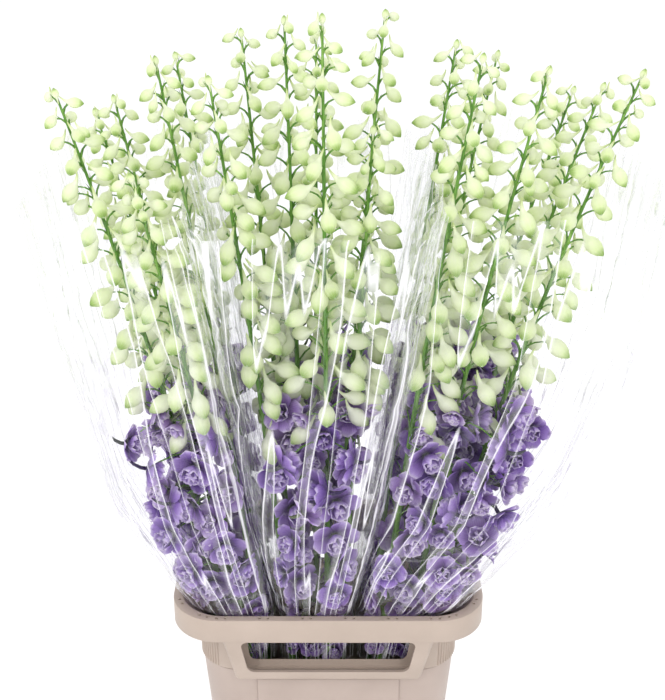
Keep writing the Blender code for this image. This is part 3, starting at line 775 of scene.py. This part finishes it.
# width, length, cup, ruffle, how far the tip curls back, cells along and across
budTemplate = makeBudTemplate()
outerPetal = makePetalTemplate(0.026, 0.029, 0.0040, 0.0012, -0.012, (5, 4))
middlePetal = makePetalTemplate(0.018, 0.022, 0.0075, 0.0012, 0.004, (4, 4))
innerPetal = makePetalTemplate(0.012, 0.015, 0.0095, 0.0008, 0.010, (4, 3))
outerLight = makePetalTemplate(0.027, 0.029, 0.0030, 0.0016, -0.006, (4, 3))
middleLight = makePetalTemplate(0.020, 0.022, 0.0070, 0.0016, 0.004, (3, 3))
innerLight = makePetalTemplate(0.013, 0.015, 0.0095, 0.0010, 0.010, (3, 2))
bractTemplate = makeBractTemplate()
leafTemplate = makeLeafTemplate()
print("templates ready")


class Batch:
    # copies of templates gathered for one piece, each with its material number and tone

    def __init__(self):
        self.points, self.faces, self.marks, self.skins = [], [], [], []
        self.count = 0

    def add(self, template, matrix, skin, tone):
        points, faces, marks = template
        turn = np.array(matrix.to_3x3())
        moved = points @ turn.T + np.array(matrix.translation)
        self.points.append(moved)
        marked = marks.copy()
        marked[:, 2] = tone
        self.marks.append(marked)
        base = self.count
        self.faces.extend(tuple(k + base for k in face) for face in faces)
        self.skins.extend([skin] * len(faces))
        self.count += len(points)

    def build(self, name, sleeve):
        mesh = bpy.data.meshes.new(name)
        mesh.from_pydata(pressInside(np.vstack(self.points), sleeve).tolist(), [], self.faces)
        mesh.polygons.foreach_set("use_smooth", [True] * len(self.faces))
        layer = mesh.attributes.new("flower", "FLOAT_VECTOR", "POINT")
        layer.data.foreach_set("vector", np.vstack(self.marks).astype(np.float32).ravel())
        mesh.update()
        thing = bpy.data.objects.new(name, mesh)
        bpy.context.scene.collection.objects.link(thing)
        return thing


def tubeTemplate(path, radii, sides):
    # a closed tube through points, with caps
    points, faces = [], []
    side = Vector((1, 0, 0))
    for k, spot in enumerate(path):
        before, after = path[max(0, k - 1)], path[min(len(path) - 1, k + 1)]
        run = (after - before).normalized()
        side = (side - run * side.dot(run)).normalized()
        other = run.cross(side)
        for j in range(sides):
            turn = 2 * math.pi * j / sides
            points.append(spot + side * radii[k] * math.cos(turn) + other * radii[k] * math.sin(turn))
    for k in range(len(path) - 1):
        for j in range(sides):
            a, b = k * sides + j, k * sides + (j + 1) % sides
            faces.append((a, b, b + sides, a + sides))
    faces.append(tuple(reversed(range(sides))))
    faces.append(tuple(range((len(path) - 1) * sides, len(path) * sides)))
    marks = np.zeros((len(points), 3))
    return np.array([p[:] for p in points]), faces, marks


def stemPoint(foot, tip, height):
    level = flowers["waterLevel"]
    share = max(0.0, (height - level) / (tip[2] - level)) ** flowers["bend"]
    return Vector((foot[0] + (tip[0] - foot[0]) * share, foot[1] + (tip[1] - foot[1]) * share, height))


film = {
    "gap": 0.0005,
    "foot": 0.264,  # height of the lower hem, inside the collar
    # height, then how far the sleeves reach out to the left, the right, the front and the back
    "profile": [
        (0.290, 0.150, 0.150, 0.100, 0.100),
        (0.340, 0.158, 0.158, 0.1075, 0.1075),
        (0.3695, 0.1884, 0.1884, 0.1384, 0.1384),
        (0.440, 0.216, 0.222, 0.172, 0.168),
        (0.540, 0.258, 0.288, 0.206, 0.200),
        (0.740, 0.300, 0.350, 0.236, 0.226),
        (0.930, 0.330, 0.372, 0.252, 0.240),
    ],
    "leftParting": (-0.067, -0.148),  # x between two sleeves at the rim and at the top
    "rightParting": (0.036, 0.120),
    "outerCorner": 0.062,
    "innerCorner": 0.028,
    "around": 240,
    "levels": 78,
    "trim": 0.02,  # how much lower the centre sleeve ends
}


def partingAt(parting, height):
    low, high = film["profile"][2][0], film["profile"][-1][0]
    return parting[0] + (parting[1] - parting[0]) * max(0.0, (height - low) / (high - low))


def sleeveSection(name, height):
    rows = film["profile"]
    for low, high in zip(rows, rows[1:]):
        if height <= high[0] or high is rows[-1]:
            share = (height - low[0]) / (high[0] - low[0])
            left, right, front, back = (a + (b - a) * share for a, b in zip(low[1:], high[1:]))
            break
    gap = film["gap"] / 2
    leftEdge, rightEdge = partingAt(film["leftParting"], height), partingAt(film["rightParting"], height)
    sides = {
        "left": (-left, leftEdge - gap),
        "centre": (leftEdge + gap, rightEdge - gap),
        "right": (rightEdge + gap, right),
    }
    return (*sides[name], -front, back)


def sleeveCorners(name):
    outer, inner = film["outerCorner"], film["innerCorner"]
    return (outer if name == "left" else inner, outer if name == "right" else inner)


def roomInSleeve(name, spot):
    left, right, front, back = sleeveSection(name, max(spot.z, film["profile"][0][0]))
    beside, before = min(spot.x - left, right - spot.x), min(spot.y - front, back - spot.y)
    corner = sleeveCorners(name)[0 if spot.x - left < right - spot.x else 1]
    if beside < corner and before < corner:
        return corner - math.hypot(corner - beside, corner - before)
    return min(beside, before)


def ballFits(name, owner, centre, radius, taken, ease=1.0):
    for rise, share in ((-0.75, 0.68), (0.0, 1.0), (0.75, 0.68)):
        spot = centre + Vector((0, 0, rise * radius))
        if spot.z < 0.932 and roomInSleeve(name, spot) < radius * share * 1.06 + 0.0017:
            return False
    for other, spot, size in taken:
        if abs(spot.z - centre.z) > 0.07:
            continue
        apart = (spot - centre).length
        if other != owner and apart < (size + radius) * ease + 0.0012:
            return False
        if other == owner and size > 0.006 and apart < (size + radius) * min(0.86, ease):
            return False
    return True


def flowerBalls(root, out, up, reach, isOpen, scale):
    end = root + out * reach * 0.86 + up * reach * 0.5
    if isOpen:
        facing = (out - up * 0.12).normalized()
        middle = end + facing * 0.006
        balls = [(middle + facing * 0.004, flowers["bloom"] * scale),
                 (end - facing * 0.008 + up * 0.006, 0.007)]
    else:
        facing = (out - up * 0.45).normalized()
        middle = end + facing * flowers["budLength"] * 0.30 * scale
        tail = end - facing * flowers["spur"] * scale * 0.7 + up * 0.003
        reachBud = flowers["bud"] * scale
        balls = [(middle, reachBud * 1.1), (middle + facing * 0.007 * scale, reachBud), (tail, 0.004)]
    balls.append(((root * 2 + end) / 3, 0.003))
    balls.append(((root + end * 2) / 3, 0.003))
    return end, facing, balls


def tryFlower(kind, height, reach, turn, scale, number, taken, placed, ease=1.0, turns=16, lifts=5):
    # tries places round the stem, then higher up, until the flower's balls find room
    name, foot, tip = stems[number]
    for attempt in range(turns * lifts):
        angle = turn + 2 * math.pi / turns * attempt * (-1) ** attempt
        lift = (attempt // turns) * flowers["lift"]
        root = stemPoint(foot, tip, height + lift)
        up = (stemPoint(foot, tip, height + lift + 0.01) - root).normalized()
        out = Vector((math.cos(angle), math.sin(angle), 0.0))
        out = (out - up * out.dot(up)).normalized()
        end, facing, balls = flowerBalls(root, out, up, reach, kind == "bloom", scale)
        if all(ballFits(name, number, centre, radius, taken, ease) for centre, radius in balls):
            taken.extend((number, centre, radius) for centre, radius in balls)
            placed[number].append((kind, root, end, facing, up, scale))
            return True
    return False


def leafAxes(out):
    along = (Vector((0, 0, 0.94)) + out * 0.34).normalized()
    return along, along.cross(out).normalized()


def placeLeaf(number, taken, placed):
    name, foot, tip = stems[number]
    rule = ((0.35, 0.0, 0.16), (0.7, 0.0, 0.22), (1.0, 0.0, 0.12), (0.45, 0.32, 0.1), (0.45, -0.32, 0.1),
            (0.78, 0.22, 0.1), (0.78, -0.22, 0.1))
    for attempt in range(16 * len(flowers["leafSizes"])):
        turn = math.radians(flowers["golden"]) * number + 2 * math.pi / 16 * attempt
        length = flowers["leafSizes"][attempt // 16]
        root = stemPoint(foot, tip, flowers["leafHeight"])
        out = Vector((math.cos(turn), math.sin(turn), 0.0))
        along, across = leafAxes(out)
        balls = [(root + along * length * far + across * length * aside, length * size)
                 for far, aside, size in rule]
        if all(ballFits(name, number, centre, size, taken) for centre, size in balls):
            taken.extend((number, centre, size) for centre, size in balls)
            placed[number].append(("leaf", root, out, length))
            return


def placeFlowers():
    taken = []
    for number, (name, foot, tip) in enumerate(stems):
        height = flowers["waterLevel"]
        while height < tip[2]:
            taken.append((number, stemPoint(foot, tip, height), 0.0055))
            height += 0.012
    placed = {number: [] for number in range(len(stems))}
    for number in range(len(stems)):
        placeLeaf(number, taken, placed)
    golden = math.radians(flowers["golden"])
    for kind in ("bloom", "bud"):
        count = flowers["blooms"] if kind == "bloom" else flowers["buds"]
        for k in range(count):
            for number, (name, foot, tip) in enumerate(stems):
                if kind == "bloom":
                    low, high, scale = flowers["flowerStart"], flowers["bloomTop"], 1.0
                    reach = 0.046
                else:
                    low, high = flowers["bloomTop"] + 0.022, tip[2] - 0.012
                    scale = 1.0 - 0.42 * (k / (count - 1)) ** 2
                    reach = 0.034 - 0.014 * k / (count - 1)
                share = (k + 0.5 * (number % 2 if kind == "bloom" else 0.5)) / (count - 0.25)
                tryFlower(kind, low + (high - low) * share, reach, golden * (k + number * 2.3), scale,
                          number, taken, placed)
    print("flowers of the solids placed")
    addMoreFlowers(taken, placed, golden)
    return placed


def addMoreFlowers(taken, placed, golden):
    # the flowers between those that the solids carry: blooms packed against the film, and closer buds
    for name in ("left", "centre", "right"):
        members = [number for number, stem in enumerate(stems) if stem[0] == name]
        for row in range(flowers["rows"]):
            pressBlooms(name, members, row, taken, placed)
    count = flowers["moreBuds"]
    for number, (name, foot, tip) in enumerate(stems):
        for k in range(count):
            share = k / (count - 1)
            height = flowers["moreBudsFrom"] + (tip[2] - 0.006 - flowers["moreBudsFrom"]) * share
            scale = 1.12 - 0.52 * share ** 3
            reach = 0.038 - 0.025 * share ** 1.5
            tryFlower("bud", height, reach, golden * (k + 0.5) + number, scale, number, taken, placed,
                      ease=0.40, turns=8, lifts=1)


def pressBlooms(name, members, row, taken, placed):
    # a row of blooms round a sleeve, just inside the film, each on a stalk from the nearest stem
    height = flowers["rowFoot"] + flowers["rowStep"] * row
    size = 0.66 if height < 0.33 else 0.92
    xs, ys = sleeveOutline(name, height, 400)
    count = len(xs)
    length = sum(math.hypot(xs[k] - xs[k - 1], ys[k] - ys[k - 1]) for k in range(count))
    pitch = flowers["rowPitch"] * size / 0.90
    steps = int(length / pitch)
    for step in range(steps):
        k = int(count * (step + 0.5 * (row % 2) + random.uniform(-0.16, 0.16)) / steps) % count
        here = Vector((xs[k], ys[k], height + random.uniform(-0.012, 0.012)))
        run = Vector((xs[(k + 1) % count] - xs[k - 1], ys[(k + 1) % count] - ys[k - 1], 0)).normalized()
        outward = Vector((run.y, -run.x, 0.0))
        inward = {"left": outward.x, "centre": abs(outward.x), "right": -outward.x}[name]
        if inward > 0.8 and min(here.y - ys.min(), ys.max() - here.y) > 0.05:
            continue
        deeper = max(0.0, height - 0.44) * 0.42
        middle = here - outward * (0.017 + deeper + (0.009 + deeper * 0.5) * random.random())
        apart = [(spot - middle).length for _, spot, ball in taken if ball > 0.015]
        if apart and min(apart) < 0.030 * size / 0.90:
            continue
        low = Vector((0, 0, -0.030))
        near = min(members, key=lambda n: (
            stemPoint(stems[n][1], stems[n][2], middle.z - 0.03) - middle - low).length)
        root = stemPoint(stems[near][1], stems[near][2], middle.z - 0.030)
        facing = outward + Vector((
            random.uniform(-0.6, 0.6), random.uniform(-0.6, 0.6), random.uniform(-0.5, 0.6)))
        taken.append((near, middle, 0.0185 * size))
        grown = size * random.uniform(0.82, 1.08)
        place = (root, middle - facing.normalized() * 0.006, facing.normalized(), Vector((0, 0, 1)), grown)
        placed[near].append(("pressed", *place))


def pressInside(points, name):
    # moves points that would pass the film back inside it, in their order, as film presses a bunch together
    rows = np.array(film["profile"])
    z = np.maximum(points[:, 2], 0.27)
    keep, soft = flowers["pressed"], 0.014
    reach = []
    for column in (1, 2, 3, 4):
        slope = (rows[1][column] - rows[0][column]) / (rows[1][0] - rows[0][0])
        known = np.interp(z, rows[:, 0], rows[:, column])
        reach.append(np.where(z < rows[0][0], rows[0][column] + slope * (z - rows[0][0]), known))
    partings = []
    for ends in (film["leftParting"], film["rightParting"]):
        partings.append(np.interp(z, [rows[2][0], rows[-1][0]], ends))
    sides = {
        "left": (-reach[0], partings[0]),
        "centre": (partings[0], partings[1]),
        "right": (partings[1], reach[1]),
    }
    left, right = sides[name]
    front, back = -reach[2], reach[3]
    onLeft, onRight = sleeveCorners(name)
    x, y = points[:, 0], points[:, 1]
    corner = np.where(x - left < right - x, onLeft, onRight)
    centreX = np.clip(x, left + corner, right - corner)
    centreY = np.clip(y, front + corner, back - corner)
    away = np.stack([x - centreX, y - centreY], axis=1)
    far = np.maximum(np.linalg.norm(away, axis=1), 1e-9)
    room = corner - far
    wanted = np.where(room < soft, keep + (soft - keep) * np.exp(np.minimum(room - soft, 0) / soft), room)
    scale = np.where(room < soft, (corner - wanted) / far, 1.0)
    moved = points.copy()
    inside = points[:, 2] < 0.64
    moved[inside, 0] = (centreX + away[:, 0] * scale)[inside]
    moved[inside, 1] = (centreY + away[:, 1] * scale)[inside]
    return moved


def turnTo(facing, up):
    side = up.cross(facing).normalized()
    return Matrix((side, facing.cross(side), facing)).transposed().to_4x4()


def addBloom(batch, end, facing, up, scale, tone, openness=1.0, light=False):
    # a double bloom: five outer sepals, then two rings of smaller petals that stand up more
    base = Matrix.Translation(end) @ turnTo(facing, up)
    twist = random.random() * math.tau
    # petal, how many, degrees it stands up, turn against the ring before, height
    rings = [
        (outerPetal, 5, 12, 0.0, 0.000),
        (middlePetal, 6, 38, 0.4, 0.002),
        (innerPetal, 5, 62, 0.1, 0.004),
    ]
    if light:
        rings = [
            (outerLight, 5, 10, 0.0, 0.000),
            (middleLight, 5, 34, 0.4, 0.002),
            (innerLight, 4, 58, 0.1, 0.004),
        ]
    for template, count, lift, shift, rise in rings:
        for k in range(count):
            turn = twist + math.tau * (k + shift) / count + random.uniform(-0.12, 0.12)
            raised = lift + random.uniform(-7, 9) + (1 - openness) * 48
            size = scale * random.uniform(0.9, 1.04)
            place = Matrix.Rotation(turn, 4, "Z") @ Matrix.Translation((0.0012, 0, rise)) \
                @ Matrix.Rotation(-math.radians(min(raised, 86)), 4, "Y") @ Matrix.Scale(size, 4)
            batch.add(template, base @ place, 2, tone + random.uniform(-0.08, 0.08))
    spur = [end + facing * 0.002, end - facing * 0.006, end - facing * 0.014 + up * 0.003,
            end - facing * 0.021 + up * 0.009]
    radii = [0.0030 * scale, 0.0026 * scale, 0.0019, 0.0008]
    batch.add(tubeTemplate(spur, radii, 6), Matrix.Identity(4), 2, tone)


def addStalk(batch, root, end, up, thick):
    # a thin stalk that rises beside the stem, then bends out to the flower, with its bracts
    run = end - root
    start = root - up * min(0.012, run.length * 0.3)
    rise, over = start + up * run.length * 0.55 + run * 0.12, end + up * run.length * 0.12 - run * 0.25

    def spotAt(t):
        u = 1 - t
        return start * u ** 3 + rise * 3 * u * u * t + over * 3 * u * t * t + end * t ** 3

    path = [spotAt(k / 5) for k in range(6)]
    radii = [thick * (1.35 - 0.5 * k / 5) for k in range(6)]
    batch.add(tubeTemplate(path, radii, 4), Matrix.Identity(4), 0, 0.5)
    for share, size in ((0.04, 1.15), (0.66, 0.5), (0.72, 0.45)):
        aim = run.normalized() * 0.8 + up + Vector((random.uniform(-0.5, 0.5), random.uniform(-0.5, 0.5), 0))
        turn = aim.normalized().to_track_quat("Z", "Y").to_matrix().to_4x4()
        batch.add(bractTemplate, Matrix.Translation(spotAt(share)) @ turn @ Matrix.Scale(size, 4), 0, 0.5)


def makeStem(number, label, parts):
    name, foot, tip = stems[number]
    batch = Batch()
    thick, thin = flowers["stem"]
    low = flowers["stemFoot"]
    heights = [low + (tip[2] - low) * k / 40 for k in range(41)]
    path = [stemPoint(foot, tip, z) for z in heights]
    radii = [thick + (thin - thick) * max(0.0, (z - 0.35) / (tip[2] - 0.35)) for z in heights]
    batch.add(tubeTemplate(path, radii, 12), Matrix.Identity(4), 0, 0.5)
    for kind, *place in parts:
        if kind == "leaf":
            root, out, length = place
            along, across = leafAxes(out)
            basis = Matrix((across, along, across.cross(along))).transposed().to_4x4()
            batch.add(leafTemplate, Matrix.Translation(root) @ basis @ Matrix.Scale(length, 4), 3, 0.5)
            continue
        root, end, facing, up, scale = place
        tone = random.random()
        addStalk(batch, root, end + facing * 0.002, up, 0.0010)
        if kind == "bloom":
            addBloom(batch, end, facing, up, scale, tone * 0.7)
        elif kind == "pressed":
            openness = random.uniform(0.75, 1.0)
            addBloom(batch, end, facing, up, scale, tone ** 1.5 * 0.9, openness=openness, light=True)
        elif end.z < flowers["halfOpen"] and random.random() < 0.55:
            addBloom(batch, end, facing, up, 0.62, 0.75 + 0.25 * tone, openness=0.35)
        else:
            roll = Matrix.Rotation(random.uniform(-0.5, 0.5), 4, "Z")
            roll = roll @ Matrix.Rotation(random.uniform(-0.25, 0.35), 4, "X")
            grow = Matrix.Diagonal((scale, scale, scale * random.uniform(0.92, 1.1), 1.0))
            pale = 0.75 * max(0.0, 1 - (end.z - 0.6) / 0.2) + 0.3 * tone
            place = Matrix.Translation(end) @ turnTo(facing, up) @ roll @ grow
            batch.add(budTemplate, place, 1, min(1.0, pale))
    lean = (path[-1] - path[-3]).normalized()
    crown = Matrix.Translation(path[-1]) @ turnTo(lean, Vector((0, -1, 0)))
    batch.add(budTemplate, crown @ Matrix.Scale(0.42, 4), 1, 0.2)
    thing = batch.build(label, name)
    skins = [stemSkin, budSkin, petalSkin, leafSkin]
    finishPiece(thing, label + "Stem", skins, [label], batch.skins)
    return len(batch.faces)


def makeStems():
    placed = placeFlowers()
    counts, total = {}, 0
    for number, (name, foot, tip) in enumerate(stems):
        counts[name] = counts.get(name, 0) + 1
        total += makeStem(number, f"stem_{name}_{counts[name]}", placed[number])
    kinds = {}
    for parts in placed.values():
        for kind, *rest in parts:
            kinds[kind] = kinds.get(kind, 0) + 1
    print("stems ready, faces", total, kinds)


def sleeveOutline(name, height, count):
    # points evenly round a sleeve's plan at a height
    left, right, front, back = sleeveSection(name, height)
    onLeft, onRight = sleeveCorners(name)
    corners = [
        (right - onRight, front + onRight, -90, onRight), (right - onRight, back - onRight, 0, onRight),
        (left + onLeft, back - onLeft, 90, onLeft), (left + onLeft, front + onLeft, 180, onLeft),
    ]
    outline = []
    for x, y, start, radius in corners:
        for step in range(13):
            angle = math.radians(start + 90 * step / 12)
            outline.append((x + radius * math.cos(angle), y + radius * math.sin(angle)))
    outline.append(outline[0])
    lengths = [0.0]
    for a, b in zip(outline, outline[1:]):
        lengths.append(lengths[-1] + math.hypot(b[0] - a[0], b[1] - a[1]))
    shares = np.linspace(0, lengths[-1], count, endpoint=False)
    xs = np.interp(shares, lengths, [p[0] for p in outline])
    ys = np.interp(shares, lengths, [p[1] for p in outline])
    return xs, ys


def makeSleeve(name, seed):
    count, levels = film["around"], film["levels"]
    low, high = film["foot"], film["profile"][-1][0]
    deselectAll()
    bpy.ops.mesh.primitive_cylinder_add(vertices=count, radius=1, depth=1, end_fill_type="NOTHING")
    tube = bpy.context.object
    bpy.ops.object.mode_set(mode="EDIT")
    bpy.ops.mesh.select_mode(type="EDGE")
    bpy.ops.mesh.select_all(action="DESELECT")
    bpy.ops.object.mode_set(mode="OBJECT")
    for edge in tube.data.edges:
        a, b = (tube.data.vertices[k].co for k in edge.vertices)
        edge.select = abs(a.z - b.z) > 0.5
    bpy.ops.object.mode_set(mode="EDIT")
    bpy.ops.mesh.subdivide_edgering(number_cuts=levels, interpolation="LINEAR")
    bpy.ops.object.mode_set(mode="OBJECT")
    outlines = {}
    offset = Vector((seed * 3.7, seed * 1.3, 0))
    for point in tube.data.vertices:
        share = point.co.z + 0.5
        step = round(share * (levels + 1))
        height = low + (high - low) * share
        if step not in outlines:
            outlines[step] = sleeveOutline(name, height, count)
        xs, ys = outlines[step]
        slot = round((math.atan2(point.co.y, point.co.x) % math.tau) / math.tau * count) % count
        here = Vector((xs[slot], ys[slot], 0))
        before = Vector((xs[slot - 1], ys[slot - 1], 0))
        after = Vector((xs[(slot + 1) % count], ys[(slot + 1) % count], 0))
        run = (after - before).normalized()
        outward = Vector((run.y, -run.x, 0))
        point.co = Vector((here.x, here.y, height)) - outward * filmDepth(here, height, offset)
    if name == "centre":
        trimTop(tube, film["trim"])
    turnFacesOut(tube)
    bpy.ops.object.shade_smooth()
    finishPiece(tube, f"filmSleeve_{name}", [filmSkin], [f"sleeve_{name}"])


def filmDepth(here, height, offset):
    # how far the film is drawn in: long pleats, deeper above the blooms, and small crinkles all over
    spot = Vector((here.x, here.y, 0)) * 15 + Vector((0, 0, height * 1.5)) + offset
    pleat = 1.0 - min(1.0, abs(noise.noise(spot)) * 2.6)
    crease = Vector((here.x * 34, here.y * 34, height * 20)) + offset
    crinkle = 1.0 - min(1.0, abs(noise.noise(crease)) * 2.4)
    high = min(1.0, max(0.0, (height - 0.58) / 0.2))
    return 0.0004 + (0.0012 + 0.009 * high) * pleat ** 2 + (0.0018 + 0.001 * high) * crinkle ** 2


def trimTop(tube, depth):
    for point in tube.data.vertices:
        if point.co.z > 0.9:
            point.co.z -= depth * (point.co.z - 0.9) / 0.03


def makeStage():
    deselectAll()
    bpy.ops.mesh.primitive_plane_add(size=14, location=(0, 3, 0))
    floor = bpy.context.object
    floor.name = "floor"
    # matt paper sweep, nearly white
    made, tree, shader = newMaterial("paleSweep", Roughness=0.9)
    where = addNode(tree, "TexCoord").outputs["Object"]
    grain = addNode(tree, "TexNoise", {"Scale": 3.0}, {"Vector": where})
    tint = addNode(tree, "ValToRGB", {"stops": [(0.3, "#fdfdfe"), (0.7, "#fefefe")]}, {"Fac": grain})
    linkInputs(tree, shader, {"Base Color": tint})
    floor.data.materials.append(made)


studio = {
    "world": 1.06,
    # name, place, height aimed at, watts, width and height of the lamp
    "lamps": [
        ("keyLeft", (-1.6, -1.5, 2.4), 0.6, 9.0, 1.4, 1.4),
        ("fillRight", (1.8, -1.2, 2.0), 0.6, 4.0, 1.4, 1.4),
        ("stripBack", (0.9, 1.5, 1.9), 0.7, 7.0, 0.4, 1.6),
        ("glintLeft", (-1.1, -1.9, 1.5), 0.5, 9.0, 0.12, 1.3),
        ("glintRight", (0.9, -2.0, 1.9), 0.5, 9.0, 0.12, 1.3),
    ],
}


def lightStudio():
    world = bpy.data.worlds.new("softRoom")
    bpy.context.scene.world = world
    world.use_nodes = True
    world.node_tree.nodes["Background"].inputs["Color"].default_value = (1.0, 1.0, 1.0, 1.0)
    world.node_tree.nodes["Background"].inputs["Strength"].default_value = studio["world"]
    for name, place, aim, power, width, height in studio["lamps"]:
        data = bpy.data.lights.new(name, "AREA")
        data.shape = "RECTANGLE"
        data.size, data.size_y = width, height
        data.energy = power
        lamp = bpy.data.objects.new(name, data)
        bpy.context.scene.collection.objects.link(lamp)
        lamp.location = place
        lamp.rotation_euler = (Vector((0, 0, aim)) - Vector(place)).to_track_quat("-Z", "Y").to_euler()
    scene = bpy.context.scene
    scene.view_settings.view_transform = "Standard"
    scene.cycles.transparent_max_bounces = 32


camera = {
    "place": (0.0055, -1.55, 1.37),
    "pitch": 24.14,  # degrees below the horizon
    "lens": 72.8,  # mm, as the sensor
    "sensor": 36.0,
}


def placeCamera():
    data = bpy.data.cameras.new("camera")
    data.sensor_fit = "HORIZONTAL"
    data.sensor_width = camera["sensor"]
    data.lens = camera["lens"]
    seer = bpy.data.objects.new("camera", data)
    bpy.context.scene.collection.objects.link(seer)
    seer.location = camera["place"]
    seer.rotation_euler = (math.radians(90 - camera["pitch"]), 0, 0)
    bpy.context.scene.camera = seer


placeCamera()
makeStage()
lightStudio()
print("stage, light and camera ready")
makeBucket()
makeCollar()
print("bucket and collar ready")
makeStems()
for number, name in enumerate(("left", "centre", "right")):
    makeSleeve(name, number + 1)
print("film sleeves ready")
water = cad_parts["water"]
water.data.materials.clear()
water.data.materials.append(waterSkin)
